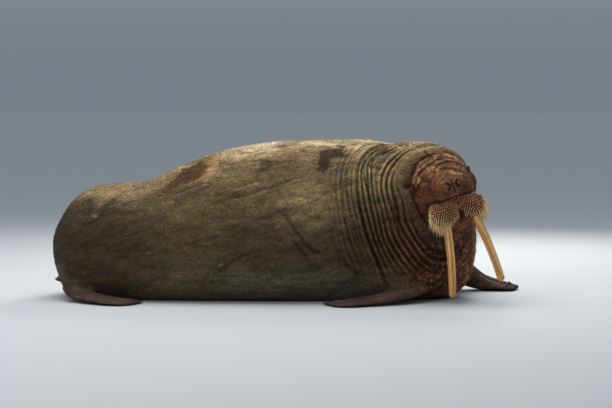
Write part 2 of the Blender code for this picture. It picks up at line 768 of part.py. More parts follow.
def face_nodes(head, helpers, pieces):
    """The head with its eyes, tusks, jaw and whisker pads, each cut to its own hollow."""
    nodes = {"head": head}
    sockets = []
    for side, word in ((1, "left"), (-1, "right")):
        ball = ellipsoid("eye_" + word, eye_frame(side), (EYE_RADIUS,) * 3, helpers, 12, 8)
        nodes["eye_" + word] = ball
        nodes["tusk_" + word] = tusk_solid(side, "tusk_" + word, helpers)
        sockets.append(tusk_solid(side, "socket_" + word, helpers, SOCKET_GAP))
        for cutter in (grown(ball, helpers), nostril_cutter(side, helpers), sockets[-1]):
            cut(head, cutter)
    keep_largest(head)

    jaw = ellipsoid("lower_jaw", head_frame(0, JAW_UP, JAW_FORWARD), JAW_RADII, helpers, 20, 12)
    head_skin = grown(head_solid(helpers), helpers, SOCKET_GAP)
    for cutter in (head_skin, *sockets):
        cut(jaw, cutter)
    nodes["lower_jaw"] = keep_largest(jaw)
    jaw_skin = grown(jaw, helpers, SOCKET_GAP)

    rng = random.Random(SEED)
    tusks = [nodes["tusk_left"], nodes["tusk_right"]]
    for side, word in ((1, "left"), (-1, "right")):
        pad = pad_solid(side, helpers)
        pad.name = "whisker_pad_" + word
        middle = half_space("middle", in_head(side * GAP / 2, 0, 0), HEAD_LEFT * -side, helpers)
        for cutter in (head_skin, jaw_skin, middle, *sockets):
            cut(pad, cutter)
        keep_largest(pad)
        bristle_solids(side, pad, (head, jaw, middle, *tusks), pieces, rng)
        join(pad, pieces)
        nodes[pad.name] = keep_largest(pad)
    return nodes


def limb_nodes(whole, helpers, pieces):
    """The flippers with their claws, and the tail."""
    nodes = {}
    body_skin = grown(whole, helpers, SOCKET_GAP)
    for name, rows, side in (
        ("foreflipper_left", LEFT_ARM, 1),
        ("foreflipper_right", RIGHT_ARM, -1),
        ("hindflipper_left", LEFT_FOOT, 1),
        ("hindflipper_right", RIGHT_FOOT, -1),
    ):
        limb = flipper_solid(name, rows, side, helpers)
        claw_solids(rows, side, pieces)
        join(limb, pieces)
        cut(limb, body_skin)
        nodes[name] = keep_largest(limb)
    tail = ellipsoid("tail", Matrix.Translation(TAIL_POINT), TAIL_RADII, helpers, 12, 8)
    cut(tail, body_skin)
    nodes["tail"] = keep_largest(tail)
    return nodes


def slot_of(name):
    for word, slot in (("flipper", "flipper_hide"), ("pad", "whiskers"), ("tusk", "ivory"), ("eye", "eye"),
                       ("head", "face_hide"), ("jaw", "face_hide")):
        if word in name:
            return slot
    return "hide"


def main():
    clear_scene()
    walrus = collection("walrus")
    helpers = collection("helpers")
    pieces = collection("pieces")
    materials = {name: material(name) for name in COLOURS}

    whole = joined_flesh(helpers, pieces)
    nodes = parted_flesh(whole, helpers)
    nodes.update(face_nodes(lidded_head(helpers, pieces), helpers, pieces))
    nodes.update(limb_nodes(whole, helpers, pieces))

    for name, node in nodes.items():
        dress(node, slot_of(name), materials, walrus)
    for obj in list(helpers.objects):
        bpy.data.objects.remove(obj, do_unlink=True)
    for name, node in nodes.items():
        node.name = name


main()
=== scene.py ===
"""The looks of a resting walrus: one creased skin over its solids, short hair, whiskers, tusks and eyes."""

import math
import random

import bmesh
import bpy
import numpy as np
from mathutils import Matrix, Vector


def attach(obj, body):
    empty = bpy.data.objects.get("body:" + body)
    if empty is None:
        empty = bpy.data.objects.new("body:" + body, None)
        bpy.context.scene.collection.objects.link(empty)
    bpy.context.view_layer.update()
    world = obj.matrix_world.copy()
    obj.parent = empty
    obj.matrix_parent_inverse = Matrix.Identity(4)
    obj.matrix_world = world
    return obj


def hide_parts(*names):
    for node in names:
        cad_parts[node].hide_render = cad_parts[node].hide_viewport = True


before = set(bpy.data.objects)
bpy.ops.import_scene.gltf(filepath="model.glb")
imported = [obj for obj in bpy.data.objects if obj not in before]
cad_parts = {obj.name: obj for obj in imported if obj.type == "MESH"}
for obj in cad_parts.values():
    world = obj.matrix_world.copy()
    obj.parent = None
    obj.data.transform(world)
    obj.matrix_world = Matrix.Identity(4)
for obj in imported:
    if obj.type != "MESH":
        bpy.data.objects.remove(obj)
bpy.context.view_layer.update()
SEED = 5
AXIS_Y = Vector((0, 1, 0))
AXIS_Z = Vector((0, 0, 1))

# The shapes below are those of the solids, with more steps.
# Body sections, rump to chest: x, half width, top, height of the widest level, underside.
BODY = (
    (-1.330, 0.015, 0.330, 0.300, 0.270),
    (-1.312, 0.120, 0.392, 0.295, 0.190),
    (-1.270, 0.205, 0.484, 0.290, 0.070),
    (-1.200, 0.285, 0.576, 0.280, 0.000),
    (-1.080, 0.350, 0.650, 0.280, -0.020),
    (-0.930, 0.385, 0.678, 0.285, -0.025),
    (-0.780, 0.410, 0.690, 0.290, -0.030),
    (-0.560, 0.455, 0.785, 0.310, -0.030),
    (-0.300, 0.495, 0.882, 0.335, -0.030),
    (0.000, 0.520, 0.930, 0.350, -0.030),
    (0.300, 0.515, 0.945, 0.360, -0.030),
    (0.560, 0.490, 0.932, 0.365, -0.030),
    (0.760, 0.455, 0.885, 0.360, -0.025),
    (0.930, 0.400, 0.800, 0.350, -0.015),
    (1.060, 0.325, 0.690, 0.340, 0.010),
    (1.158, 0.210, 0.560, 0.335, 0.110),
    (1.195, 0.090, 0.440, 0.330, 0.235),
    (1.202, 0.012, 0.345, 0.330, 0.315),
)
BODY_POWERS = (2.15, 2.7)
NECK_POWERS = (2.1, 2.1)
# How finely the forms are drawn: steps from row to row, and points around a ring.
BODY_STEPS = 5
BODY_AROUND = 120
HEAD_AROUND = 96
FLIPPER_STEPS = 10
FLIPPER_AROUND = 60

# The head's own frame: its origin is midway between the eyes.
EYES_MIDDLE = Vector((0.968, -0.360, 0.722))
HEAD_YAW = math.radians(14)
HEAD_PITCH = math.radians(1)
HEAD_ROLL = math.radians(17.5)

# Neck sections, chest to collar: centre, turn, tilt, half width right and left, up, down.
NECK = (
    ((0.500, 0.000, 0.530), 0, 0, 0.360, 0.360, 0.320, 0.320),
    ((0.640, -0.005, 0.555), 18, 1, 0.375, 0.350, 0.330, 0.340),
    ((0.755, -0.040, 0.585), 38, 4, 0.370, 0.335, 0.330, 0.345),
    ((0.845, -0.115, 0.608), 56, 9, 0.330, 0.285, 0.308, 0.335),
    ((0.905, -0.195, 0.632), 68, 13, 0.288, 0.247, 0.288, 0.320),
    ((0.938, -0.262, 0.648), 76, 16, 0.258, 0.222, 0.264, 0.305),
    ((0.950, -0.300, 0.652), 76, 17, 0.230, 0.202, 0.240, 0.290),
    ((0.958, -0.322, 0.652), 76, 17, 0.198, 0.184, 0.212, 0.262),
)

# Head sections, occiput to nose: forward, half width, top, bottom, in the head's frame.
HEAD = (
    (-0.120, 0.150, 0.100, -0.280),
    (-0.044, 0.178, 0.142, -0.318),
    (-0.020, 0.176, 0.136, -0.312),
    (0.020, 0.168, 0.116, -0.300),
    (0.060, 0.158, 0.088, -0.285),
    (0.100, 0.148, 0.064, -0.262),
    (0.140, 0.134, 0.044, -0.225),
    (0.175, 0.112, 0.026, -0.180),
    (0.200, 0.082, 0.006, -0.140),
    (0.214, 0.045, -0.018, -0.100),
    (0.219, 0.010, -0.045, -0.065),
)
HEAD_POWER = 2.3

# Eyes, and the brows behind them: places, facing and half sizes in the head's frame.
EYE_RADIUS = 0.020
EYE_SIDE = 0.160
EYE_FORWARD = 0.012
EYE_FACING = Vector((0.90, 0.10, 0.42)).normalized()
BROW_RADII = (0.042, 0.046, 0.027)
BROW_SUNK = 0.018

# Whisker pads: place and half sizes in the head's frame, turn outwards and droop, rows of bristles.
PAD_SIDE = 0.082
PAD_UP = -0.178
PAD_FORWARD = 0.148
PAD_RADII = (0.088, 0.080, 0.092)
PAD_SPLAY = math.radians(18)
PAD_DROOP = math.radians(20)
WHISKER_ROWS = 20
WHISKER_COLUMNS = 29
WHISKERS_END = -0.270

# Lower jaw, in the head's frame.
JAW_UP = -0.262
JAW_FORWARD = 0.118
JAW_RADII = (0.062, 0.044, 0.062)

# Tusks: side, up and forward of points along the left one, and its radii at the root and at the end.
TUSK_POINTS = (
    (0.080, -0.165, 0.152),
    (0.088, -0.228, 0.160),
    (0.115, -0.400, 0.158),
    (0.137, -0.540, 0.128),
    (0.153, -0.648, 0.088),
)
TUSK_RADII = (0.0285, 0.0245)
TUSK_FLATNESS = 0.88
TUSK_END = 0.018
TUSK_STEPS = 24
TUSK_AROUND = 56

# Flippers: path points with half width and half thickness, from the root to the tips.
FLIPPERS = {
    "foreflipper_left": (1, (
        ((0.80, 0.250, 0.230), 0.125, 0.120),
        ((1.00, 0.340, 0.175), 0.110, 0.105),
        ((1.15, 0.385, 0.090), 0.096, 0.090),
        ((1.26, 0.402, 0.040), 0.098, 0.060),
        ((1.38, 0.402, 0.023), 0.116, 0.033),
        ((1.505, 0.397, 0.009), 0.120, 0.012),
    )),
    "foreflipper_right": (-1, (
        ((0.87, -0.200, 0.110), 0.110, 0.080),
        ((0.80, -0.375, 0.076), 0.098, 0.066),
        ((0.68, -0.485, 0.040), 0.088, 0.044),
        ((0.55, -0.545, 0.023), 0.096, 0.031),
        ((0.42, -0.590, 0.015), 0.114, 0.020),
        ((0.30, -0.625, 0.008), 0.118, 0.010),
    )),
    "hindflipper_right": (1, (
        ((-1.12, -0.150, 0.120), 0.090, 0.090),
        ((-1.17, -0.235, 0.082), 0.082, 0.068),
        ((-1.13, -0.335, 0.041), 0.080, 0.046),
        ((-1.03, -0.425, 0.023), 0.092, 0.031),
        ((-0.91, -0.490, 0.015), 0.114, 0.020),
        ((-0.78, -0.535, 0.008), 0.122, 0.010),
    )),
    "hindflipper_left": (-1, (
        ((-1.12, 0.150, 0.120), 0.090, 0.090),
        ((-1.18, 0.230, 0.082), 0.082, 0.068),
        ((-1.15, 0.330, 0.041), 0.080, 0.046),
        ((-1.07, 0.425, 0.023), 0.092, 0.031),
        ((-0.96, 0.500, 0.015), 0.114, 0.020),
        ((-0.84, 0.560, 0.008), 0.122, 0.010),
    )),
}
# How the digits rise from a flipper, how deep the web is cut between them, and their claws.
DIGITS = 5
DIGIT_RISE = 0.38
WEB_NOTCH = 0.045
EDGE_SWEEP = 0.07
DIGITS_START = 0.42
CLAW_PLACE = 0.86
CLAW_LENGTH = 0.024
CLAW_RADIUS = 0.0055

# The short tail between the hind flippers.
TAIL_POINT = Vector((-1.262, 0.0, 0.105))
TAIL_RADII = (0.060, 0.042, 0.026)

# The side of the skin's squares before its folded parts are split, and the room left for the coat.
VOXEL = 0.0075
COAT_DEPTH = 0.003
# A pull inwards is followed by a push outwards, so that large forms keep their size.
EVEN_PULLS = (0.60, -0.615)
# The coat's pieces, each from one x to the next.
COAT_PIECES = (
    ("coat_rump", -9.0, -0.45),
    ("coat_middle", -0.45, 0.30),
    ("coat_neck", 0.30, 0.86),
    ("coat_front", 0.86, 9.0),
)
COAT_TUFTS = 40000
# On the flat sheet: its size to the metre of body, and the reach of a tuft's own patch.
SHEET_SCALE = 0.225
TUFT_PATCH = 0.0015


def srgb(red, green, blue):
    """A colour given as 0 to 255 values, in linear light."""
    found = []
    for value in (red, green, blue):
        share = value / 255
        found.append(share / 12.92 if share <= 0.04045 else ((share + 0.055) / 1.055) ** 2.4)
    return np.array(found)


def smooth(rows, t):
    """The rows' values at t rows from the start, on a smooth curve through them all."""
    last = len(rows) - 1
    i = min(int(t), last - 1)
    f = t - i
    before, start, end, after = (rows[min(max(j, 0), last)] for j in (i - 1, i, i + 1, i + 2))
    found = []
    for a, b, c, d in zip(before, start, end, after):
        found.append(0.5 * (2 * b + (c - a) * f + (2 * a - 5 * b + 4 * c - d) * f * f
                            + (3 * b - 3 * c + d - a) * f ** 3))
    return found


def steps_through(rows, steps):
    count = (len(rows) - 1) * steps
    return [i / steps for i in range(count + 1)]


def powered(value, power):
    return math.copysign(abs(value) ** (2 / power), value)


def section(centre, left, up, sizes, powers, around):
    """A closed ring of points. Sizes are its reaches to the right, to the left, up and down."""
    right_reach, left_reach, up_reach, down_reach = sizes
    ring = []
    for k in range(around):
        angle = 2 * math.pi * k / around
        side, rise = math.sin(angle), math.cos(angle)
        power = powers[0] if rise > 0 else powers[1]
        across = powered(side, power) * (left_reach if side > 0 else right_reach)
        upward = powered(rise, power) * (up_reach if rise > 0 else down_reach)
        ring.append(centre + left * across + up * upward)
    return ring


def on_floor(ring):
    """The ring with what lies below the floor lifted onto it."""
    for point in ring:
        point.z = max(point.z, 0.0)
    return ring


def link_object(name, data):
    """A new object in the scene for a mesh, a lamp or a camera."""
    obj = bpy.data.objects.new(name, data)
    bpy.context.scene.collection.objects.link(obj)
    return obj


def mesh_object(name, points, faces):
    mesh = bpy.data.meshes.new(name)
    mesh.from_pydata([tuple(p) for p in points], [], faces)
    mesh.update()
    return link_object(name, mesh)


def loft_faces(count, around):
    """The four-sided faces between rings of points that follow one another."""
    faces = []
    for r in range(count - 1):
        for k in range(around):
            n = (k + 1) % around
            faces.append((r * around + k, r * around + n, (r + 1) * around + n, (r + 1) * around + k))
    return faces


def loft(name, rings):
    """A closed form through rings of points, with a fan of triangles on each end."""
    around = len(rings[0])
    points = [p for ring in rings for p in ring]
    faces = loft_faces(len(rings), around)
    for first, ring in ((0, rings[0]), ((len(rings) - 1) * around, rings[-1])):
        points.append(sum(ring, Vector()) / around)
        middle = len(points) - 1
        faces += [(first + k, first + (k + 1) % around, middle) for k in range(around)]
    obj = mesh_object(name, points, faces)
    work = bmesh.new()
    work.from_mesh(obj.data)
    bmesh.ops.recalc_face_normals(work, faces=work.faces)
    work.to_mesh(obj.data)
    work.free()
    return obj


def ellipsoid(name, place, radii, across=48, down=32):
    work = bmesh.new()
    bmesh.ops.create_uvsphere(work, u_segments=across, v_segments=down, radius=1.0)
    bmesh.ops.transform(work, matrix=place @ Matrix.Diagonal((*radii, 1.0)), verts=work.verts)
    mesh = bpy.data.meshes.new(name)
    work.to_mesh(mesh)
    work.free()
    return link_object(name, mesh)


def head_axes():
    level = Vector((math.sin(HEAD_YAW), -math.cos(HEAD_YAW), 0.0))
    left = Vector((math.cos(HEAD_YAW), math.sin(HEAD_YAW), 0.0))
    forward = level * math.cos(HEAD_PITCH) - Vector((0, 0, 1)) * math.sin(HEAD_PITCH)
    up = forward.cross(left)
    turned_left = left * math.cos(HEAD_ROLL) + up * math.sin(HEAD_ROLL)
    turned_up = up * math.cos(HEAD_ROLL) - left * math.sin(HEAD_ROLL)
    return turned_left, turned_up, forward


HEAD_LEFT, HEAD_UP, HEAD_FRONT = head_axes()
HEAD_MATRIX = np.array((HEAD_LEFT, HEAD_UP, HEAD_FRONT)).T


def in_head(side, up, forward):
    return EYES_MIDDLE + HEAD_LEFT * side + HEAD_UP * up + HEAD_FRONT * forward


def head_frame(side, up, forward, turn=None):
    axes = Matrix((HEAD_LEFT, HEAD_UP, HEAD_FRONT)).transposed()
    if turn is not None:
        axes = axes @ turn
    return Matrix.Translation(in_head(side, up, forward)) @ axes.to_4x4()


def to_head(points):
    """Points as side, up and forward numbers in the head's frame."""
    return (points - np.array(EYES_MIDDLE)) @ HEAD_MATRIX


def eye_frame(side, sunk=0.0):
    """Where an eye is and how it faces, or a place behind it by the depth sunk."""
    facing = HEAD_LEFT * EYE_FACING.x * side + HEAD_UP * EYE_FACING.y + HEAD_FRONT * EYE_FACING.z
    turn = facing.to_track_quat("Z", "Y").to_matrix().to_4x4()
    place = Matrix.Translation(in_head(EYE_SIDE * side, 0, EYE_FORWARD)) @ turn
    return place @ Matrix.Translation((0, 0, -sunk)) if sunk else place


def pad_frame(side):
    splay = Matrix.Rotation(PAD_SPLAY * side, 3, "Y")
    droop = Matrix.Rotation(-PAD_DROOP * side, 3, "Z")
    return head_frame(PAD_SIDE * side, PAD_UP, PAD_FORWARD, droop @ splay)


def body_loft():
    rings = []
    for t in steps_through(BODY, BODY_STEPS):
        x, half_width, top, level, under = smooth(BODY, t)
        sizes = (half_width, half_width, top - level, level - under)
        middle = Vector((x, 0, level))
        rings.append(on_floor(section(middle, AXIS_Y, AXIS_Z, sizes, BODY_POWERS, BODY_AROUND)))
    return loft("body", rings)


def neck_loft():
    rings = []
    for t in steps_through(NECK, BODY_STEPS):
        x, y, z, turn, roll, *sizes = smooth([(*centre, *rest) for centre, *rest in NECK], t)
        heading = math.radians(turn)
        level = Vector((math.sin(heading), math.cos(heading), 0))
        lean = math.radians(roll)
        left = level * math.cos(lean) + AXIS_Z * math.sin(lean)
        up = AXIS_Z * math.cos(lean) - level * math.sin(lean)
        rings.append(on_floor(section(Vector((x, y, z)), left, up, sizes, NECK_POWERS, BODY_AROUND)))
    return loft("neck", rings)


def head_loft():
    rings = []
    for t in steps_through(HEAD, BODY_STEPS):
        forward, half_width, top, bottom = smooth(HEAD, t)
        reach = (top - bottom) / 2
        sizes = (half_width, half_width, reach, reach)
        middle = in_head(0, (top + bottom) / 2, forward)
        rings.append(section(middle, HEAD_LEFT, HEAD_UP, sizes, (HEAD_POWER,) * 2, HEAD_AROUND))
    return loft("head_form", rings)


def flipper_axes(rows, t, side):
    """A flipper at t rows from its root: its middle, its ways ahead, across and up, and its half sizes."""
    flat_rows = [(*point, width, thick) for point, width, thick in rows]
    *centre, width, thick = smooth(flat_rows, t)
    last = len(rows) - 1
    behind = Vector(smooth(flat_rows, max(t - 0.25, 0.0))[:3])
    beyond = Vector(smooth(flat_rows, min(t + 0.25, last))[:3])
    ahead = (beyond - behind).normalized()
    across = AXIS_Z.cross(ahead).normalized() * side
    return Vector(centre), ahead, across, ahead.cross(across) * side, width, thick


def hand_share(rows, t):
    """0 on the arm of a flipper, rising to 1 at the tips of its digits."""
    return max(0.0, (t / (len(rows) - 1) - DIGITS_START) / (1 - DIGITS_START))


def flipper_loft(name, rows, side):
    """A flipper whose back is ridged by its digits, with a notch in the web between each two."""
    rings = []
    for t in steps_through(rows, FLIPPER_STEPS):
        centre, ahead, across, upward, width, thick = flipper_axes(rows, t, side)
        hand = hand_share(rows, t)
        ring = []
        for half in (1, -1):
            for k in range(FLIPPER_AROUND):
                v = -math.cos(math.pi * k / FLIPPER_AROUND) * half
                body = (1 - min(1.0, abs(v)) ** 2.4) ** 0.6
                ridge = 0.5 - 0.5 * math.cos(math.pi * DIGITS * (v + 1))
                rise = body * (1 + DIGIT_RISE * hand * (2 * ridge - 1)) if half > 0 else -0.6 * body
                notch = -WEB_NOTCH * (1 - ridge) * hand ** 3 - EDGE_SWEEP * hand ** 2 * max(0.0, -v) ** 2
                ring.append(centre + across * width * v + upward * thick * rise + ahead * notch)
        rings.append(on_floor(ring))
    return loft(name, rings)


def hashed(cells, seed):
    """A number from 0 to 1 for each whole-numbered cell."""
    x, y, z = cells.T
    bits = (x * 73856093) ^ (y * 19349663) ^ (z * 83492791) ^ (seed * 7919 + 101)
    bits = bits & 0xFFFFFFFF
    bits = ((bits ^ (bits >> 15)) * 0x2C1B3C6D) & 0xFFFFFFFF
    bits = ((bits ^ (bits >> 12)) * 0x297A2D39) & 0xFFFFFFFF
    return (bits ^ (bits >> 15)) / 0xFFFFFFFF


def noise(points, scale, seed):
    """Smooth noise from -1 to 1 with this many lumps to the metre."""
    spots = points * scale + seed * 1.37
    base = np.floor(spots).astype(np.int64)
    f = spots - base
    f = f * f * (3 - 2 * f)
    total = np.zeros(len(spots))
    for corner in range(8):
        step = np.array((corner & 1, corner >> 1 & 1, corner >> 2 & 1))
        weight = np.prod(np.where(step == 1, f, 1 - f), axis=1)
        total += (hashed(base + step, seed) * 2 - 1) * weight
    return total


def clouds(points, scale, octaves, seed):
    """Noise with finer and weaker noise on top of it, octaves deep."""
    total = np.zeros(len(points))
    for octave in range(octaves):
        total += noise(points, scale * 2.03 ** octave, seed + octave) / 2 ** octave
    return total


def strayed(points, size, scale, octaves, seeds):
    """Points moved about by noise, with one seed for each of their axes."""
    return points + size * np.stack([clouds(points, scale, octaves, seed) for seed in seeds], 1)


def cells_of(points, scale, seed):
    """Distance to the nearest and the second nearest of scattered spots, in cells."""
    spots = points * scale
    base = np.floor(spots).astype(np.int64)
    first = np.full(len(spots), 9.0)
    second = np.full(len(spots), 9.0)
    for dx in (-1, 0, 1):
        for dy in (-1, 0, 1):
            for dz in (-1, 0, 1):
                cell = base + np.array((dx, dy, dz))
                centre = cell + np.stack([hashed(cell, seed + a) for a in range(3)], 1)
                apart = np.linalg.norm(spots - centre, axis=1)
                second = np.minimum(second, np.maximum(first, apart))
                first = np.minimum(first, apart)
    return first, second


def ramp(values, low, high):
    """0 below low, 1 above high, eased between. Low may be the greater."""
    share = np.clip((values - low) / (high - low), 0, 1)
    return share * share * (3 - 2 * share)


def bell(values, width):
    """1 at zero, falling softly to both sides."""
    return np.exp(-(values / width) ** 2)


def oval(across, rise, wide, high):
    """1 in the middle of an oval of these half sizes, falling softly all round."""
    return bell(np.hypot(across / wide, rise / high), 1.0)


def read_array(items, key, width, kind=np.float32):
    """One attribute of all the points, edges, corners or faces of a mesh, as rows of this width."""
    flat = np.empty(len(items) * width, dtype=kind)
    items.foreach_get(key, flat)
    return flat.reshape(-1, width) if width > 1 else flat


def get_points(mesh):
    return read_array(mesh.vertices, "co", 3).astype(float)


def set_points(mesh, points):
    mesh.vertices.foreach_set("co", points.astype(np.float32).ravel())
    mesh.update()


def get_normals(mesh):
    return read_array(mesh.vertex_normals, "vector", 3).astype(float)


def get_edges(mesh):
    return read_array(mesh.edges, "vertices", 2, np.int32)


def relaxed(points, edges, weight, rounds, pulls=(1,)):
    """Moves points towards the middle of their neighbours, each by its weight, and by each pull in turn."""
    live = (weight[edges[:, 0]] > 0) | (weight[edges[:, 1]] > 0)
    ends = edges[live]
    count = np.maximum(np.bincount(ends.ravel(), minlength=len(points)), 1)
    moved = points.copy()
    strength = np.where(weight > 0, weight, 0)[:, None]
    for pull in pulls * rounds:
        total = np.zeros_like(moved)
        for axis in range(3):
            for end, other in ((0, 1), (1, 0)):
                total[:, axis] += np.bincount(
                    ends[:, end], weights=moved[ends[:, other], axis], minlength=len(moved))
        moved += pull * strength * (total / count[:, None] - moved)
    return moved


def flipper_places(points, rows, side):
    """Each point's share of the way along a flipper, and its distance off the middle in half sizes."""
    last = len(rows) - 1
    best = np.full(len(points), 1e9)
    along = np.zeros(len(points))
    off = np.full(len(points), 99.0)
    for i in range(51):
        t = last * i / 50
        centre, ahead, across, upward, width, thick = flipper_axes(rows, t, side)
        step = points - np.array(centre)
        lateral = step @ np.array(across) / width
        rise = step @ np.array(upward) / thick
        apart = np.abs(step @ np.array(ahead)) / 0.02 + np.hypot(lateral, rise)
        better = apart < best
        best = np.where(better, apart, best)
        along = np.where(better, t / last, along)
        off = np.where(better, np.hypot(lateral * 0.95, rise * 0.8), off)
    return along, off


def fused_forms():
    """All the flesh as one closed mesh of even squares."""
    forms = [body_loft(), neck_loft(), head_loft()]
    for name, (side, rows) in FLIPPERS.items():
        forms.append(flipper_loft(name + "_form", rows, side))
    for side in (1, -1):
        forms.append(ellipsoid("pad_form", pad_frame(side), PAD_RADII))
        forms.append(ellipsoid("brow_form", eye_frame(side, BROW_SUNK), BROW_RADII))
    forms.append(ellipsoid("jaw_form", head_frame(0, JAW_UP, JAW_FORWARD), JAW_RADII))
    forms.append(ellipsoid("tail_form", Matrix.Translation(TAIL_POINT), TAIL_RADII))
    work = bmesh.new()
    for form in forms:
        work.from_mesh(form.data)
        bpy.data.objects.remove(form, do_unlink=True)
    mesh = bpy.data.meshes.new("skin")
    work.to_mesh(mesh)
    work.free()
    skin = link_object("skin", mesh)
    remesh = skin.modifiers.new("even", "REMESH")
    remesh.mode = "VOXEL"
    remesh.voxel_size = VOXEL
    graph = bpy.context.evaluated_depsgraph_get()
    even = bpy.data.meshes.new_from_object(skin.evaluated_get(graph), depsgraph=graph)
    skin.modifiers.clear()
    skin.data = even
    return skin


# The neck's folds run round this place in rings. The deepest crease is the ring of this radius.
FOLD_CENTRE = np.array((0.97, -0.33, 0.66))
FOLD_SPACING = 0.030
MAIN_CREASE = 0.500
# Where the face ends and the hood begins, forward of the eyes.
CREASE_FORWARD = -0.0445
CREASES = (
    # depth, width, points as x and z on the right flank
    (0.004, 0.010, ((-0.42, 0.560), (-0.12, 0.650), (-0.05, 0.670), (0.15, 0.728), (0.25, 0.760))),
    (0.007, 0.009, ((0.00, 0.560), (0.06, 0.515), (0.18, 0.360), (0.22, 0.315), (0.31, 0.275))),
    (0.006, 0.009, ((0.11, 0.380), (0.22, 0.235))),
    (0.009, 0.010, ((0.39, 0.240), (0.51, 0.170))),
    (0.004, 0.010, ((-0.06, 0.335), (-0.17, 0.290), (-0.35, 0.170))),
    (0.003, 0.009, ((-0.04, 0.240), (0.02, 0.140))),
    (0.003, 0.010, ((-0.14, 0.360), (-0.30, 0.400), (-0.52, 0.330))),
    (0.003, 0.009, ((0.05, 0.600), (0.16, 0.630), (0.24, 0.620))),
)
# A slanting turn, so that the squares of the noise don't line up with the body.
TURNED = np.array(((0.80, 0.36, -0.48), (-0.60, 0.48, -0.64), (0.00, 0.80, 0.60)))
# A short cleft in the hood, as side and up in the head's frame, and the lie of the hip, as x and z.
HOOD_NOTCH = ((-0.010, 0.122), (-0.018, 0.146), (-0.040, 0.182))
HIP_RIDGE = ((-0.80, 0.700), (-0.93, 0.640), (-1.03, 0.560), (-1.08, 0.470))
HIP_GROOVE = ((-0.86, 0.720), (-1.00, 0.640), (-1.10, 0.550), (-1.14, 0.450))

# Colours of the hide, the face, the flippers, the claws and the bristles.
TAN = srgb(172, 146, 106)
PALE = srgb(216, 198, 168)
OLIVE = srgb(108, 90, 58)
UMBER = srgb(76, 62, 40)
BELLY = srgb(98, 90, 72)
CHEST = srgb(172, 108, 72)
CHEST_DARK = srgb(80, 42, 26)
# The throat's own paler colour, made brighter as painted light where the head shades it.
THROAT_AND_PAINTED_LIGHT = srgb(214, 158, 122)
FACE = srgb(112, 64, 36)
FACE_DARK = srgb(56, 30, 19)
RUST = srgb(150, 84, 38)
NOSE = srgb(100, 66, 42)
PAD_SKIN = srgb(86, 48, 28)
FLIPPER = srgb(68, 49, 41)
PATCH = srgb(84, 58, 24)
PATCH_DARK = srgb(66, 43, 15)
OCHRE = srgb(150, 110, 58)
SCAR = srgb(190, 176, 150)
PINK = srgb(120, 94, 82)
HOOD = srgb(128, 104, 72)
UNDER_HOOD = srgb(84, 66, 46)
BROW = srgb(136, 100, 66)
FOREHEAD = srgb(120, 78, 46)
GLINT = srgb(196, 144, 88)
CHEEK_RED = srgb(134, 72, 42)
CHEEK = srgb(124, 72, 46)
LIP = srgb(130, 92, 68)
CLAW = srgb(58, 46, 38)
WARM_STRAW = (srgb(184, 104, 52), srgb(226, 160, 98))
PALE_STRAW = (srgb(206, 164, 104), srgb(246, 222, 174))
PATCHES = (
    # x and z of the middle, half width and height, lean, colour, strength
    ((-0.460, 0.760), (0.120, 0.055), 0.62, OCHRE, 0.75),
    ((-0.510, 0.730), (0.120, 0.046), 0.62, PATCH, 1.0),
    ((0.288, 0.818), (0.044, 0.060), 0.55, PATCH_DARK, 1.0),
    ((0.352, 0.862), (0.058, 0.034), 0.45, PATCH_DARK, 1.0),
    ((-0.048, 0.795), (0.040, 0.038), 0.3, UMBER, 0.80),
    ((0.075, 0.790), (0.022, 0.014), 0.3, PATCH, 0.6),
    ((-0.295, 0.818), (0.030, 0.014), 0.3, PATCH, 0.5),
    ((-0.920, 0.560), (0.030, 0.014), 0.8, PATCH, 0.15),
)
# Small pale scars on the right flank, as x and z.
SCARS = ((-1.06, 0.50), (-0.775, 0.505), (-0.72, 0.30), (-0.30, 0.22), (0.02, 0.46))

# The stage: the floor, the sky's shades at the floor's far edge and above it, the lamps and the camera.
FLOOR_REACH = 60
FLOOR_COLOUR = (0.50, 0.535, 0.57)
SKY_LOW = (0.37, 0.428, 0.49, 1)
SKY_HIGH = (0.74, 0.80, 0.86, 1)
SKY_RISE = 0.14
LAMPS = (
    # name, place, what it is turned to, size, power, colour
    ("overhead", (-0.6, 0.2, 5.0), (0, 0, 0.4), 4.5, 235, (1.0, 0.97, 0.92)),
    ("front", (-3.0, -6.0, 3.8), (0.3, 0, 0.4), 3.0, 110, (1.0, 0.96, 0.90)),
    ("rim", (1.5, 4.5, 3.4), (0, 0, 0.8), 2.5, 190, (1.0, 0.96, 0.88)),
)
CAMERA_PLACE = (0.1845, -14.0, 1.35)
CAMERA_DOWN = 3.26
CAMERA_LENS = 138.35


def line_distance(xz, line):
    """Distance of side-on points from a line through a few points, and the share of the way along it."""
    best = np.full(len(xz), 1e9)
    share = np.zeros(len(xz))
    last = len(line) - 1
    for i in range(last):
        start, end = np.array(line[i]), np.array(line[i + 1])
        run = end - start
        t = np.clip(((xz - start) @ run) / (run @ run), 0, 1)
        apart = np.linalg.norm(xz - start - t[:, None] * run, axis=1)
        share = np.where(apart < best, (i + t) / last, share)
        best = np.minimum(best, apart)
    return best, share


def groove(apart, width):
    """The cross-section of a crease: a narrow valley with a soft lip on both sides. 1 at its bottom."""
    return bell(apart, width) - 0.30 * bell(apart - 2.1 * width, width * 1.2)


def ridges(phase, power=0.85):
    """Rounded ridges, 0 in a valley and 1 on a ridge. The smaller the power, the narrower the valleys."""
    return np.abs(np.sin(np.pi * phase)) ** power


def fold_radius(points):
    """How far a point lies from the face, measured so that the neck's folds are level lines of it."""
    step = points - FOLD_CENTRE
    level = step[:, 0] ** 2 + step[:, 1] ** 2
    above = step[:, 2] > 0
    plain = np.sqrt(level + np.where(above, 1.3, 0.72) ** 2 * step[:, 2] ** 2)
    share = np.clip(plain / MAIN_CREASE, 0, 1)
    rise = np.where(above, 1.0 + 0.3 * share, 0.50 + 0.22 * share) * step[:, 2]
    return np.sqrt(level + rise ** 2)


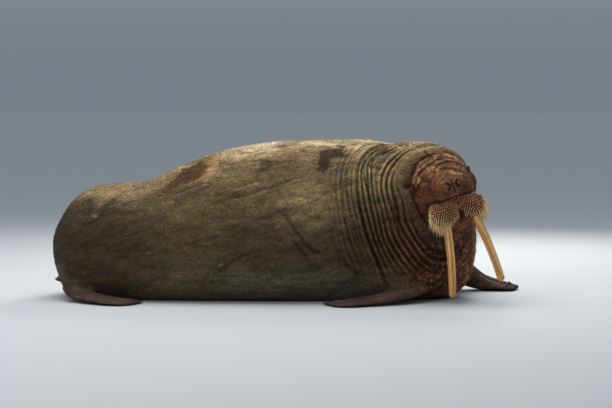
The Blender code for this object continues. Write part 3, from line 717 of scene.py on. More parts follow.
def in_frame(points, place):
    """Points as seen from a frame of their own."""
    back = np.array(place.inverted())
    return points @ back[:3, :3].T + back[:3, 3]


def off_ellipsoid(points, place, radii):
    """Distance from an ellipsoid's middle, 1 on its surface."""
    return np.linalg.norm(in_frame(points, place) / np.array(radii), axis=1)


class Places:
    """What is known of each point of the skin: where it lies on the animal."""

    def __init__(self, points):
        self.head = to_head(points)
        side, up, self.forward = self.head.T
        self.head_off = self.off_head_form()
        self.axis_off = np.hypot(side, (up + 0.09) / 1.25)
        pads = [off_ellipsoid(points, pad_frame(s), PAD_RADII) for s in (1, -1)]
        self.pad = ramp(np.minimum(*pads), 1.10, 1.03)
        self.face = self.face_share(points)
        self.on_head = self.face > 0.5
        self.hand = np.zeros(len(points))
        self.off = np.full(len(points), 99.0)
        for side, rows in FLIPPERS.values():
            low = np.min([row[0] for row in rows], axis=0) - 0.2
            high = np.max([row[0] for row in rows], axis=0) + 0.2
            near = np.nonzero(((points > low) & (points < high)).all(1))[0]
            along, off = flipper_places(points[near], rows, side)
            closer = off < self.off[near]
            self.off[near] = np.where(closer, off, self.off[near])
            self.hand[near] = np.where(closer, along, self.hand[near])
        self.flipper = ramp(self.off, 1.35, 1.05) * ramp(self.hand, 0.18, 0.45)
        self.body = (1 - self.flipper) * (1 - self.face)

    def off_head_form(self):
        """Distance from the head's middle line, 1 on its plain form."""
        side, up, forward = self.head.T
        stations, *sizes = np.array(HEAD).T
        wide, top, bottom = (np.interp(forward, stations, size) for size in sizes)
        across = np.abs(side) / wide
        rise = np.abs(up - (top + bottom) / 2) / ((top - bottom) / 2)
        return (across ** HEAD_POWER + rise ** HEAD_POWER) ** (1 / HEAD_POWER)

    def face_share(self, points):
        """1 on the face, its pads, brows and jaw, and 0 away from them."""
        side, _, forward = self.head.T
        near = ramp(forward, CREASE_FORWARD - 0.012, CREASE_FORWARD + 0.004)
        near *= ramp(self.head_off, 1.13, 1.07)
        tip = ramp(forward, 0.16, 0.19) * ramp(np.abs(side), 0.2, 0.15)
        jaw = off_ellipsoid(points, head_frame(0, JAW_UP, JAW_FORWARD), JAW_RADII)
        brows = [off_ellipsoid(points, eye_frame(s, BROW_SUNK), BROW_RADII) for s in (1, -1)]
        return np.maximum.reduce(
            [near, tip, self.pad, ramp(jaw, 1.12, 1.04), ramp(np.minimum(*brows), 1.12, 1.05)])


def subdivided(mesh, chosen):
    """Splits the faces whose corners are all chosen."""
    work = bmesh.new()
    work.from_mesh(mesh)
    work.verts.ensure_lookup_table()
    edges = [e for e in work.edges if chosen[e.verts[0].index] and chosen[e.verts[1].index]]
    bmesh.ops.subdivide_edges(work, edges=edges, cuts=1, use_grid_fill=True)
    work.to_mesh(mesh)
    work.free()


def moved_along_normals(mesh, amount):
    set_points(mesh, get_points(mesh) + get_normals(mesh) * amount[:, None])


def settle_forms(mesh):
    """Evens out the joins between the forms."""
    points, edges = get_points(mesh), get_edges(mesh)
    points = relaxed(points, edges, np.full(len(points), 0.5), 2)
    at = Places(points)
    away = np.clip(ramp(at.forward, -0.085, -0.14) + ramp(at.axis_off, 0.31, 0.36), 0, 1)
    weight = ramp(points[:, 0], 0.30, 0.42) * away * ramp(at.off, 1.15, 1.5)
    points = relaxed(points, edges, np.where(weight > 0.01, weight, 0), 110, EVEN_PULLS)
    root = ramp(at.off, 0.8, 1.0) * ramp(at.off, 1.7, 1.3) * ramp(at.hand, 0.62, 0.42) * 0.5
    points = relaxed(points, edges, np.where(root > 0.01, root, 0), 25)
    face = np.where(at.on_head, 0.5, 0.0)
    points = relaxed(points, edges, face, 3)
    set_points(mesh, points)


def large_forms(mesh):
    """The lie of the flesh: hips, shoulders and slack, and the roll of skin behind the face."""
    points = get_points(mesh)
    at = Places(points)
    xz = points[:, (0, 2)]
    amount = 0.007 * clouds(points, 3.2, 2, 3) * at.body * ramp(points[:, 2], 0.02, 0.12)
    for line, size, width in ((HIP_RIDGE, 0.018, 0.050), (HIP_GROOVE, -0.010, 0.050)):
        apart, share = line_distance(xz, line)
        ends = ramp(share, 0.0, 0.25) * ramp(share, 1.0, 0.7)
        amount += size * bell(apart, width) * ends * ramp(np.abs(points[:, 1]), 0.08, 0.24)
    back = ramp(points[:, 0], -1.15, -0.6) * ramp(points[:, 0], 0.7, 0.2)
    amount += -0.004 * bell(points[:, 1], 0.05) * back * ramp(points[:, 2], 0.5, 0.8)
    moved_along_normals(mesh, amount - COAT_DEPTH * at.body)


def neck_fold_depth(points, at):
    """The neck's folds, as a height and as painted shade in their valleys, with painted highlight on their
    ridges.
    """
    y, z = points[:, 1], points[:, 2]
    radius = fold_radius(points)
    step = points - FOLD_CENTRE
    turn = np.arctan2(step[:, 2], np.hypot(step[:, 0], 0.35 * step[:, 1]) + 0.02)
    strip = np.stack([radius * 15, turn * 1.3, np.sign(y - 0.1) * 3 + step[:, 1] * 0.8], 1)
    wavy = radius + 0.014 * clouds(points, 3.5, 2, 11)
    phase = (wavy + 0.012 * clouds(strip, 1.0, 2, 12) - MAIN_CREASE) / FOLD_SPACING
    first = ridges(phase)
    second = ridges(phase * 1.45 + 0.9 * clouds(strip, 1.6, 2, 14) + 0.3)
    mask = ramp(noise(strip, 0.9, 15), -0.15, 0.25)
    fold = first * (1 - 0.65 * mask) + second * 0.65 * mask
    thin = ridges(phase * 2.6 + 1.3 * clouds(strip, 2.2, 2, 17))
    strength = fold_strength(points, at, radius, strip)
    main = groove(wavy + 0.0042 * noise(points, 7, 23) - MAIN_CREASE, 0.0085)
    main *= ramp(y, 0.25, 0.0) * ramp(z, 0.04, 0.16) * (1 - at.face)
    main *= np.clip(0.75 + 0.5 * noise(strip, 1.7, 24), 0.25, 1)
    height = 0.0190 * (fold - 0.62) * strength + 0.0042 * (thin - 0.6) * strength - 0.014 * main
    dark = 1.35 * (1 - fold) ** 1.1 * strength + 0.55 * (1 - thin) ** 1.2 * strength + main
    # Painted highlight on the tops of the folds.
    dark -= 0.60 * ramp(fold, 0.78, 1.0) * strength
    return height, np.clip(dark, -0.6, 1)


def fold_strength(points, at, radius, strip):
    """How deep the neck's folds are at each place: deep near the face, shallow on the hood and far back."""
    inner = ramp(radius, 0.205, 0.245) * ramp(radius, 0.515, 0.49)
    outer = ramp(radius, 0.50, 0.53) * ramp(radius, 0.78, 0.56)
    strength = inner + 0.50 * outer
    strength *= 0.82 + 0.50 * noise(strip, 1.4, 21)
    strength *= 1 - 0.45 * ramp(points[:, 1], 0.0, 0.12)
    strength *= ramp(points[:, 2], 0.08, 0.30) * ramp(points[:, 0], 1.17, 1.0) * at.body
    hood = ramp(at.forward, -0.145, -0.10) * ramp(at.axis_off, 0.30, 0.26)
    strength *= 1 - 0.93 * hood * ramp(at.head[:, 1], -0.06, 0.04)
    return np.clip(strength, 0, 1.3)


def creased(points, stretch, scale, octaves, seed, sharpness):
    """Wandering lines where a stretched noise crosses zero: 1 on a line, 0 away from it."""
    lines = 1 - np.abs(clouds(points * np.array(stretch), scale, octaves, seed)) * sharpness
    return np.clip(lines, 0, 1)


def flank_creases(points, at):
    """Long creases drawn on the flanks, and a net of fine ones, with painted shade along them."""
    bend = 0.012 * np.stack([clouds(points, 9, 2, 31), clouds(points, 9, 2, 41)], 1)
    xz = points[:, (0, 2)] + bend
    right = ramp(points[:, 1], 0.02, -0.10)
    left = ramp(points[:, 1], 0.02, 0.12)
    height = np.zeros(len(points))
    dark = np.zeros(len(points))
    for i, (depth, width, line) in enumerate(CREASES):
        apart, share = line_distance(xz, line)
        ends = np.clip(ramp(share, -0.02, 0.2) * ramp(share, 1.02, 0.8), 0.15, 1)
        part = groove(apart, width) * ends * np.clip(right + left * (i % 2), 0, 1)
        height -= depth * part
        # Painted shade along the long creases.
        dark += np.clip(part, 0, 1) * min(1.0, depth / 0.006)
    region = at.body * ramp(points[:, 2], 0.01, 0.08)
    leaning = points @ np.array(((1.0, 0, 0.35), (0, 1.0, 0), (-0.35, 0, 1.0))).T
    crossing = points @ np.array(((1.0, 0, -0.8), (0, 1.0, 0), (0.8, 0, 1.0))).T
    patchy = ramp(noise(points, 3.0, 66), -0.5, 0.5)
    shoulder = bell(points[:, 0] - 0.33, 0.20) * ramp(points[:, 2], 0.12, 0.30)
    for lines, where, depth, shade, power in (
        (creased(leaning, (0.33, 0.7, 1.3), 10, 3, 51, 3.6), 1, 0.0034, 0.42, 1.5),
        (creased(crossing, (0.40, 0.8, 1.4), 12, 3, 56, 4.2), patchy, 0.0028, 0.34, 1.5),
        (creased(points, (0.8, 1.0, 1.2), 30, 3, 61, 4.5), 1, 0.0016, 0.22, 2),
        (creased(leaning, (1.5, 0.7, 0.28), 15, 2, 71, 3.2), shoulder, 0.0030, 0.45, 1.5),
    ):
        height -= depth * lines * where * region
        # Painted shade along the fine creases.
        dark += shade * lines ** power * where * region
    return height, np.clip(dark, 0, 1)


def chest_region(points, at):
    """How much a place belongs to the rough red-brown chest."""
    stray = 0.10 * clouds(points @ TURNED, 5, 4, 201)
    front = ramp(points[:, 0] + stray, 0.55, 1.04) * ramp(points[:, 2] + 1.3 * stray, 0.80, 0.30)
    return front * at.body


def chest_bosses(points, at):
    """Rough pebbles of thick skin over the chest and throat, with painted shade in the gaps and painted
    highlight on their tops.
    """
    region = chest_region(points, at)
    height = np.zeros(len(points))
    dark = np.zeros(len(points))
    chosen = np.nonzero(region > 0.02)[0]
    bent = points[chosen] + 0.010 * clouds(points[chosen], 12, 2, 61)[:, None]
    bent = bent * np.array((1.0, 1.0, 0.68))
    first, second = cells_of(bent, 43, 71)
    gap = np.clip((second - first) / 0.45, 0, 1)
    height[chosen] = 0.0085 * (gap ** 0.7 - 0.55) * region[chosen]
    # Painted shade in the gaps between the pebbles and painted highlight on their tops.
    dark[chosen] = ((1 - gap) ** 1.2 - 0.35 * ramp(gap, 0.75, 1.0)) * region[chosen]
    return height, dark


def pad_top(side):
    """The height of the moustache's upper edge, in the head's frame."""
    return -0.108 - 0.10 * np.maximum(0, np.abs(side) - 0.05)


def face_features(_, at):
    """Height and painted shade of what is drawn on the face: nostrils, creases, mouth and cheeks."""
    side, up, forward = at.head.T
    on = at.face
    front = ramp(forward, 0.09, 0.15)
    nose = front * on
    out = np.abs(side)
    arc = np.hypot(out - 0.036, up + 0.026)
    slit = bell(arc - 0.0175, 0.0050) * ramp(0.036 - out, -0.008, 0.004) * nose
    wing = bell(np.hypot(out - 0.048, (up + 0.032) * 0.95), 0.030) * nose
    middle = bell(side, 0.0042) * ramp(up, -0.085, -0.06) * ramp(up, 0.02, -0.005) * nose
    shelf = up - pad_top(side) - 0.011 - 0.006 * noise(at.head, 18, 5)
    band = bell(shelf, 0.016) * ramp(forward, 0.03, 0.10) * on * ramp(out, 0.165, 0.14)
    mouth = oval(side - 0.003, up + 0.192, 0.014, 0.018) * front
    cleft = bell(side, 0.0035) * ramp(up, -0.125, -0.145) * ramp(up, -0.20, -0.18) * front
    cheek = bell(up + 0.075, 0.058) * bell(forward - 0.005, 0.070) * ramp(out, 0.09, 0.14)
    fine = creased(at.head, (1.0, 1.5, 1.0), 34, 3, 91, 3.0) ** 1.3 * on
    height, dark = face_wrinkles(at, out, on)
    # Each mark: its shape, its height, and its painted shade.
    for shape, rise, shade in (
        (slit, -0.0120, 1.0),
        (bell(arc - 0.0275, 0.0055) * nose, 0.0035, 0.0),
        (wing, 0.0085, 0.0),
        (middle, -0.0065, 0.85),
        (band, -0.006, 0.42),
        (mouth, -0.013, 1.0),
        (cleft, -0.006, 0.6),
        (cheek, np.where(side > 0, 0.026, 0.012), 0.0),
        (fine, -0.0026, 0.50),
    ):
        height += rise * shape
        dark += shade * shape
    return height, np.clip(dark, -0.3, 1)


def face_wrinkles(at, out, on):
    """Height and painted shade of the arched wrinkles over the nose and of the upright ones on the cheeks,
    with painted highlight on the arches.
    """
    _, up, forward = at.head.T
    bent = strayed(at.head, 0.012, 14, 2, (81, 83, 85))
    reach = np.hypot(bent[:, 0] * 0.85, bent[:, 1] + 0.030)
    arches = ridges(reach / 0.0285 + 0.8 * noise(at.head, 15, 87), 0.7)
    above = ramp(reach, 0.056, 0.070) * ramp(up, -0.03, 0.01) * on
    above *= (0.85 + 0.55 * noise(at.head, 12, 88)) * ramp(forward, -0.03, 0.0)
    uprights = ridges((bent[:, 2] + 0.45 * bent[:, 1]) / 0.019 + 0.4 * noise(at.head, 20, 89), 0.7)
    beside = ramp(out, 0.080, 0.112) * ramp(up, 0.01, -0.04) * ramp(forward, 0.15, 0.10)
    beside *= (on - at.pad).clip(0, 1)
    height = 0.0100 * (arches - 0.65) * above + 0.005 * clouds(at.head, 13, 2, 99) * on
    height += 0.0080 * (uprights - 0.65) * beside
    # Painted shade in the valleys and painted highlight on the tops of the arches.
    dark = (0.85 * (1 - arches) ** 1.2 - 0.30 * ramp(arches, 0.8, 1.0)) * above
    dark += 0.95 * (1 - uprights) ** 1.2 * beside
    return height, dark


def hood_crease(points, at):
    """The deep fold where the face comes out from under the neck's skin, and the roll behind it, with
    painted shade in the fold, the seam and the notch.
    """
    side, up, forward = at.head.T
    wander = 0.004 * noise(at.head, 12, 95)
    edge = forward - CREASE_FORWARD - wander
    around = ramp(at.axis_off, 0.315, 0.285) * ramp(points[:, 2], 0.40, 0.50)
    valley = bell(edge - 0.004, 0.008) * around * ramp(at.head_off, 1.34, 1.22)
    roll = bell(edge + 0.030, 0.022) * around * ramp(up, -0.08, 0.02)
    far = bell(edge + 0.045, 0.060) * around * ramp(side, 0.02, 0.12) * ramp(up, -0.14, -0.04)
    seam = bell(at.head_off - 1.115, 0.035) * ramp(forward, -0.04, -0.02) * ramp(forward, 0.13, 0.09)
    seam *= ramp(up, 0.03, -0.02) * (1 - at.pad) * ramp(np.abs(side), 0.10, 0.14)
    apart, share = line_distance(at.head[:, (0, 1)], HOOD_NOTCH)
    notch = bell(apart, 0.0060) * ramp(share, 1.0, 0.6)
    notch *= ramp(forward, -0.26, -0.20) * ramp(forward, 0.01, -0.01)
    height = 0.008 * roll + 0.017 * far - 0.013 * valley - 0.008 * seam - 0.009 * notch
    # Painted shade in the fold, the seam and the notch.
    return height, np.clip(valley + seam + notch, 0, 1)


def open_eyes(mesh):
    """Fits lids over each eyeball, with an almond opening, and rings of soft creases, and gives painted
    shade in the creases and at the rim of the lids.
    """
    points = get_points(mesh)
    dark = np.zeros(len(points))
    for side in (1, -1):
        place = eye_frame(side)
        local = in_frame(points, place)
        flat = np.hypot(local[:, 0], local[:, 1])
        near = (flat < 0.060) & (local[:, 2] > -0.03) & (local[:, 2] < 0.06)
        spot, across = local[near], flat[near]
        tilt = spot[:, 1] + 0.16 * spot[:, 0] * side
        opening = np.hypot(spot[:, 0] / 0.0135, tilt / 0.0090)
        reach = 0.0228 + 0.0018 * bell(opening - 1.25, 0.22) - 0.0070 * ramp(opening, 1.06, 0.94)
        ball = directions(spot) * reach[:, None]
        fitted = spot + (ball - spot) * ramp(across, 0.036, 0.021)[:, None]
        rings = groove(across - 0.030, 0.0032) + 0.6 * groove(across - 0.041, 0.0032)
        rings *= ramp(across, 0.060, 0.045)
        fitted -= directions(fitted) * (0.0026 * rings)[:, None]
        forward = np.array(place)
        points[near] = fitted @ forward[:3, :3].T + forward[:3, 3]
        # Painted shade in the creases round the eye and at the rim of the lids.
        dark[near] = np.clip(0.8 * rings + ramp(opening, 1.22, 1.0), 0, 1)
    set_points(mesh, points)
    return dark


def directions(steps):
    """Steps of length one in the same directions."""
    return steps / (np.linalg.norm(steps, axis=-1, keepdims=True) + 1e-12)


def mixed(base, other, share):
    """One colour turned into the other by a share from 0 to 1."""
    return base + (other - base) * np.clip(share, 0, 1)[:, None]


def painted(colour, *coats):
    """A colour with others laid over it in turn, each by its own share."""
    for other, share in coats:
        colour = mixed(colour, other, share)
    return colour


def back_colours(points, normals, mottle, bare):
    """The hide of the body: grey-brown below, olive above it, tan and pale along the back, where facing up
    it is partly painted highlight; with painted shade on the sides of the hind half and in the saddle, and
    a painted highlight along the hip.
    """
    x, y, z = points.T
    level = z / 0.93 + 0.05 * mottle
    facing = normals[:, 2] + 0.10 * mottle
    # Painted shade over the saddle of the low back, in front of the hips.
    painted_saddle_shade = oval(x + 0.78, z - 0.605 - 0.10 * (x + 0.78), 0.25, 0.062) * ramp(y, 0.0, -0.10)
    shoulder = 0.55 * oval(x - 0.22, z - 0.60, 0.17, 0.16) + 0.9 * oval(x - 0.56, z - 0.76, 0.15, 0.11)
    rump = ramp(x, -0.58, -0.95)
    apart, share = line_distance(points[:, (0, 2)], HIP_RIDGE)
    # A painted highlight along the ridge of the hip, on the right side.
    painted_hip_highlight = bell(apart, 0.026) * ramp(share, 0.0, 0.15) * ramp(share, 1.0, 0.6) * ramp(y, 0.0, -0.10)
    return painted(
        np.tile(BELLY, (len(points), 1)),
        (UMBER, ramp(level, 0.10, 0.30)),
        (OLIVE, ramp(level, 0.34, 0.74)),
        # Painted shade: darker olive where the hind half faces sideways or down.
        (OLIVE * 0.75, 0.5 * ramp(x, -0.1, -0.5) * ramp(facing, 0.7, 0.4)),
        # Tan and pale where the back faces up: partly the hide's own colour, partly painted highlight.
        (TAN, ramp(level, 0.60, 0.80) * ramp(facing, 0.66, 0.93)),
        (PALE, 0.6 * ramp(level, 0.86, 1.0) * ramp(facing, 0.86, 0.98)),
        # The painted shade over the saddle.
        (OLIVE * 0.62, 0.95 * painted_saddle_shade),
        (TAN, np.clip(shoulder, 0, 0.8) * bare * ramp(y, 0.10, -0.05)),
        (UMBER * 0.66, 0.85 * rump * ramp(level, 0.72, 0.52)),
        # Painted highlight on the top of the rump, where it faces up.
        (TAN * 0.8, rump * ramp(z, 0.52, 0.64) * ramp(facing, 0.62, 0.9)),
        # The painted highlight along the hip.
        (TAN * 0.8, 0.55 * painted_hip_highlight),
        (PINK, 0.7 * ramp(x, -1.20, -1.29) * ramp(z, 0.26, 0.16) * ramp(z, 0.0, 0.05)),
    )


def chest_colours(colour, points, at, wander):
    """The chest, the throat and the hood, painted over the colours of the body; the throat's paler colour
    is brightened as painted light where the head shades it.
    """
    x, _, z = points.T
    side, up, forward = at.head.T
    chest = chest_region(points, at)
    # The paler throat, brightened further as painted light where the head shades it.
    throat = ramp(side + wander, -0.10, 0.02) * ramp(side + wander, 0.26, 0.10)
    throat *= ramp(forward + wander, -0.36, -0.16) * (1 - at.flipper)
    throat *= ramp(up + wander, -0.16, -0.34) * ramp(up + wander, -0.66, -0.42)
    near_face = ramp(fold_radius(points), 0.44, 0.28) * ramp(z, 0.68, 0.48) * ramp(x, 0.55, 0.70)
    hood = ramp(forward, -0.22, -0.09) * ramp(at.axis_off, 0.36, 0.29) * ramp(up, -0.09, 0.06)
    under_hood = ramp(forward, -0.16, -0.06) * ramp(at.axis_off, 0.36, 0.30) * ramp(side, 0.0, -0.1)
    ruddy = ramp(forward + wander, -0.20, -0.05) * ramp(at.axis_off, 0.42, 0.28)
    ruddy *= ramp(up + wander, 0.05, -0.10) * ramp(side, -0.02, 0.06)
    return painted(
        colour,
        (CHEST, 0.9 * chest),
        (CHEST_DARK, 0.75 * chest * ramp(clouds(points, 16, 3, 121), 0.0, 0.7)),
        (CHEST_DARK, 0.6 * chest * ramp(x, 0.96, 0.82)),
        (OLIVE * 0.8, 0.5 * chest * ramp(z, 0.22, 0.05)),
        # The throat colour, partly painted light.
        (THROAT_AND_PAINTED_LIGHT, 0.85 * throat),
        (CHEST * 0.36, 0.65 * near_face),
        (HOOD, 0.75 * hood),
        (UNDER_HOOD, 0.6 * under_hood * ramp(up, 0.10, -0.02)),
        (FACE * 0.8, 0.60 * ruddy),
    )


def face_colours(at):
    """The face: dark red-brown, with painted glints of highlight on the forehead and a paler top edge that
    is partly painted highlight, and rust above the moustache.
    """
    side, up, forward = at.head.T
    glints = ramp(clouds(at.head, 24, 3, 141), 0.15, 0.7) * ramp(up, -0.02, 0.04)
    red = ramp(clouds(at.head, 15, 3, 145), 0.1, 0.7) * ramp(up, 0.06, -0.02)
    nose = bell(np.hypot(side, up + 0.025), 0.075) * ramp(forward, 0.10, 0.16)
    shelf = up - pad_top(side)
    front = ramp(forward, 0.03, 0.10)
    return painted(
        np.tile(FACE, (len(side), 1)),
        (FACE_DARK, 0.8 * ramp(clouds(at.head, 12, 3, 131), 0.1, 0.9)),
        # The paler tan top edge of the face: partly its own colour, partly painted highlight of the hood's
        # rim.
        (BROW, ramp(forward, 0.045, -0.01) * ramp(up, -0.01, 0.06)),
        (FOREHEAD, 0.55 * ramp(up, 0.01, 0.07)),
        # Painted glints of highlight on the forehead.
        (GLINT, 0.62 * glints),
        (CHEEK_RED, 0.45 * red),
        (NOSE, 0.8 * nose),
        (CHEEK, 0.7 * ramp(up, -0.03, -0.09) * ramp(np.abs(side), 0.06, 0.11)),
        (RUST, 0.75 * bell(shelf - 0.026, 0.010) * front * ramp(noise(at.head, 26, 9), -0.5, 0.3)),
        (FACE_DARK * 0.6, 0.9 * bell(shelf - 0.010, 0.010) * front),
        (PAD_SKIN, 0.9 * ramp(shelf, 0.004, -0.006) * ramp(forward, 0.0, 0.06)),
        (CHEST * 0.5, ramp(up, -0.22, -0.27)),
        (LIP, 0.35 * oval(side - 0.01, up + 0.252, 0.045, 0.016)),
    )


def marked(colour, points, bare, fine):
    """The colour with the dark patches and the small scars of the right side."""
    right = ramp(points[:, 1], 0.02, -0.08)
    bent = strayed(points, 0.016, 18, 3, (161, 171, 181))
    for (px, pz), (wide, high), lean, shade, share in PATCHES:
        across, rise = bent[:, 0] - px, bent[:, 2] - pz
        spot = oval(across, rise - lean * across, wide, high)
        colour = mixed(colour, shade, share * ramp(spot + 0.16 * fine, 0.15, 0.55) * right * bare)
    for px, pz in SCARS:
        colour = mixed(colour, SCAR, 0.45 * oval(bent[:, 0] - px, bent[:, 2] - pz, 0.009, 0.005) * right)
    return colour


def hide_colours(points, normals, at, dark):
    """The colour of the skin and of the coat over it, with painted shade in its hollows and painted
    highlights on its ridges and upper sides.
    """
    side, up, forward = at.head.T
    bare = 1 - at.face
    mottle = clouds(points, 6, 4, 101)
    fine = clouds(points, 42, 2, 111)
    streak = clouds(points * np.array((0.30, 0.6, 1.4)), 30, 3, 113)
    wander = 0.05 * clouds(points, 7, 3, 125)
    colour = back_colours(points, normals, mottle, bare)
    colour = chest_colours(colour, points, at, wander)
    behind = ramp(forward + wander, 0.03, -0.04) * ramp(up, 0.02, -0.06) * ramp(side, 0.06, 0.12)
    colour = mixed(colour, face_colours(at), at.face * (1 - 0.65 * behind))
    limb = np.tile(FLIPPER, (len(points), 1))
    limb = mixed(limb, FLIPPER * 1.7, ramp(clouds(points, 25, 3, 151), 0.0, 0.8))
    colour = mixed(colour, limb, at.flipper)
    colour = marked(colour, points, bare, fine)
    colour = colour * np.clip(1 + 0.16 * mottle + 0.20 * fine + 0.30 * streak, 0.35, 1.8)[:, None]
    speck = ramp(noise(points, 75, 191), 0.45, 0.9) * (1 - at.flipper)
    colour = mixed(colour, colour * 0.5, 0.55 * speck)
    # Painted shade where dark is above zero, painted highlight where it is below zero.
    colour = mixed(colour, colour * 0.14, 0.95 * dark)
    colour = colour * (1 + np.clip(-dark, 0, 1))[:, None]
    return np.clip(colour, 0.002, 1)


def store_colours(mesh, name, colours):
    """Keeps a colour for each point of the mesh under this name."""
    layer = mesh.color_attributes.new(name=name, type="FLOAT_COLOR", domain="POINT")
    full = np.ones((len(colours), 4), dtype=np.float32)
    full[:, :3] = colours
    layer.data.foreach_set("color", full.ravel())


def denser(mesh):
    """Splits the faces where the skin is folded, and again on the face."""
    points = get_points(mesh)
    at = Places(points)
    folded = (fold_radius(points) < 0.62) & (points[:, 2] > 0.06)
    subdivided(mesh, folded | (chest_region(points, at) > 0.02) | at.on_head)
    at = Places(get_points(mesh))
    subdivided(mesh, at.on_head & (at.forward > -0.03))
    points, edges = get_points(mesh), get_edges(mesh)
    at = Places(points)
    points = relaxed(points, edges, np.where(at.on_head, 0.5, 0.25), 3)
    set_points(mesh, points)


def shaped_skin():
    """The whole skin: the fused forms, then the folds, creases and features on them, and its colours."""
    skin = fused_forms()
    mesh = skin.data
    settle_forms(mesh)
    large_forms(mesh)
    denser(mesh)
    points = get_points(mesh)
    at = Places(points)
    height = np.zeros(len(points))
    # Painted shade in the hollows of the folds, creases and features, and painted highlight on their ridges
    # where it falls below zero.
    dark = np.zeros(len(points))
    for features, share in (
        (hood_crease, 1),
        (neck_fold_depth, 1),
        (flank_creases, 0.75),
        (chest_bosses, 0.9),
        (face_features, 1),
    ):
        rise, shade = features(points, at)
        height += rise
        dark += shade * share
    moved_along_normals(mesh, height)
    dark += open_eyes(mesh)
    points = get_points(mesh)
    points[:, 2] = np.maximum(points[:, 2], 0.001)
    set_points(mesh, points)
    colours = hide_colours(points, get_normals(mesh), at, np.clip(dark, -0.6, 1))
    store_colours(mesh, "hide_colour", colours)
    return skin


def dress(obj, material, slot, *replaced):
    """Gives a piece its material and its body, and hides the solids that it stands in for. Its slot is not
    used.
    """
    obj.data.shade_smooth()
    obj.data.materials.append(material)
    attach(obj, "root")
    if replaced:
        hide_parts(*replaced)


def fill(tree, node, inputs):
    """Gives each input of a node its value, or links it where an output is given."""
    for key, value in inputs.items():
        if isinstance(value, bpy.types.NodeSocket):
            tree.links.new(value, node.inputs[key])
        else:
            node.inputs[key].default_value = value


def add_node(tree, kind, inputs, output, **fields):
    """Adds a node with its fields and inputs set, and returns one of its outputs."""
    node = tree.nodes.new("ShaderNode" + kind)
    for field, value in fields.items():
        setattr(node, field, value)
    fill(tree, node, inputs)
    return node.outputs[output]


def hide_material():
    """Hide with a fine grain and a net of small plates, in the colours kept in its mesh, with painted shade
    in the cracks between the plates.
    """
    made = mesh_material("hide", 0.5, 0.22)
    tree = made.node_tree
    tint = add_node(tree, "Attribute", {}, "Color", attribute_name="hide_colour")
    place = add_node(tree, "TexCoord", {}, "Object")
    grain = add_node(tree, "TexNoise", {"Scale": 170, "Detail": 3, "Vector": place}, "Fac")
    bend = add_node(tree, "TexNoise", {"Scale": 28, "Detail": 2, "Vector": place}, "Color")
    bent = add_node(tree, "VectorMath", {0: bend, 1: (0.03,) * 3, 2: place}, 0, operation="MULTIPLY_ADD")
    stretched = add_node(tree, "VectorMath", {0: bent, 1: (0.6, 1.0, 1.2)}, 0, operation="MULTIPLY")
    edge = add_node(tree, "TexVoronoi", {"Scale": 54, "Vector": stretched}, "Distance",
                    feature="DISTANCE_TO_EDGE")
    cracks = add_node(tree, "MapRange", {"Value": edge, "From Max": 0.22}, "Result")
    # Painted shade in the cracks between the plates.
    shade = add_node(tree, "MapRange", {"Value": cracks, "To Min": 0.62, "To Max": 1.10}, "Result")
    speckle = add_node(tree, "MapRange", {"Value": grain, "From Min": 0.3, "From Max": 0.7,
                                          "To Min": 0.86, "To Max": 1.14}, "Result")
    both = add_node(tree, "Math", {0: shade, 1: speckle}, "Value", operation="MULTIPLY")
    colour = add_node(tree, "VectorMath", {0: tint, "Scale": both}, "Vector", operation="SCALE")
    rough = add_node(tree, "MapRange", {"Value": grain, "To Min": 0.58, "To Max": 0.78}, "Result")
    plates = add_node(tree, "Bump", {"Strength": 0.55, "Distance": 0.0022, "Height": cracks}, "Normal")
    relief = add_node(tree, "Bump", {"Strength": 0.5, "Distance": 0.0016, "Height": grain,
                                     "Normal": plates}, "Normal")
    fill(tree, tree.nodes["Principled BSDF"], {"Base Color": colour, "Roughness": rough, "Normal": relief})
    return made


def mesh_material(name, roughness, specular=0.5, colour=None, attribute=None):
    """A plain material of one colour, or in the colours kept in the mesh under attribute."""
    made = bpy.data.materials.new(name)
    made.use_nodes = True
    tree = made.node_tree
    inputs = {"Roughness": roughness, "Specular IOR Level": specular}
    if colour:
        inputs["Base Color"] = (*colour, 1)
    if attribute:
        inputs["Base Color"] = add_node(tree, "Attribute", {}, "Color", attribute_name=attribute)
    fill(tree, tree.nodes["Principled BSDF"], inputs)
    return made


def tusk_line(side):
    """Centres and radii along a tusk, from its root to its worn and rounded end."""
    last = len(TUSK_POINTS) - 1
    centres, radii = [], []
    for t in steps_through(TUSK_POINTS, TUSK_STEPS):
        along, up, forward = smooth(TUSK_POINTS, t)
        centres.append(in_head(along * side, up, forward))
        radii.append(TUSK_RADII[0] + (TUSK_RADII[1] - TUSK_RADII[0]) * t / last)
    end = (centres[-1] - centres[-2]).normalized()
    tip = centres[-1]
    for i in range(1, 9):
        share = i / 8.5
        centres.append(tip + end * TUSK_END * math.sin(share * math.pi / 2))
        radii.append(TUSK_RADII[1] * max(0.0, 1 - share ** 3.4) ** 0.5)
    return centres, radii


def tusk_points(centres, radii):
    """Rings of points round a tusk, with three shallow flutes that fade towards its end."""
    points = []
    for i, centre in enumerate(centres):
        ahead = (centres[min(i + 1, len(centres) - 1)] - centres[max(i - 1, 0)]).normalized()
        across = ahead.cross(HEAD_FRONT).normalized()
        other = ahead.cross(across).normalized()
        for k in range(TUSK_AROUND):
            angle = 2 * math.pi * k / TUSK_AROUND
            flute = 1 + 0.035 * math.cos(3 * angle + 0.6) * (1 - 0.5 * i / len(centres))
            way = across * TUSK_FLATNESS * math.cos(angle) + other * math.sin(angle)
            points.append(centre + way * radii[i] * flute)
    return points


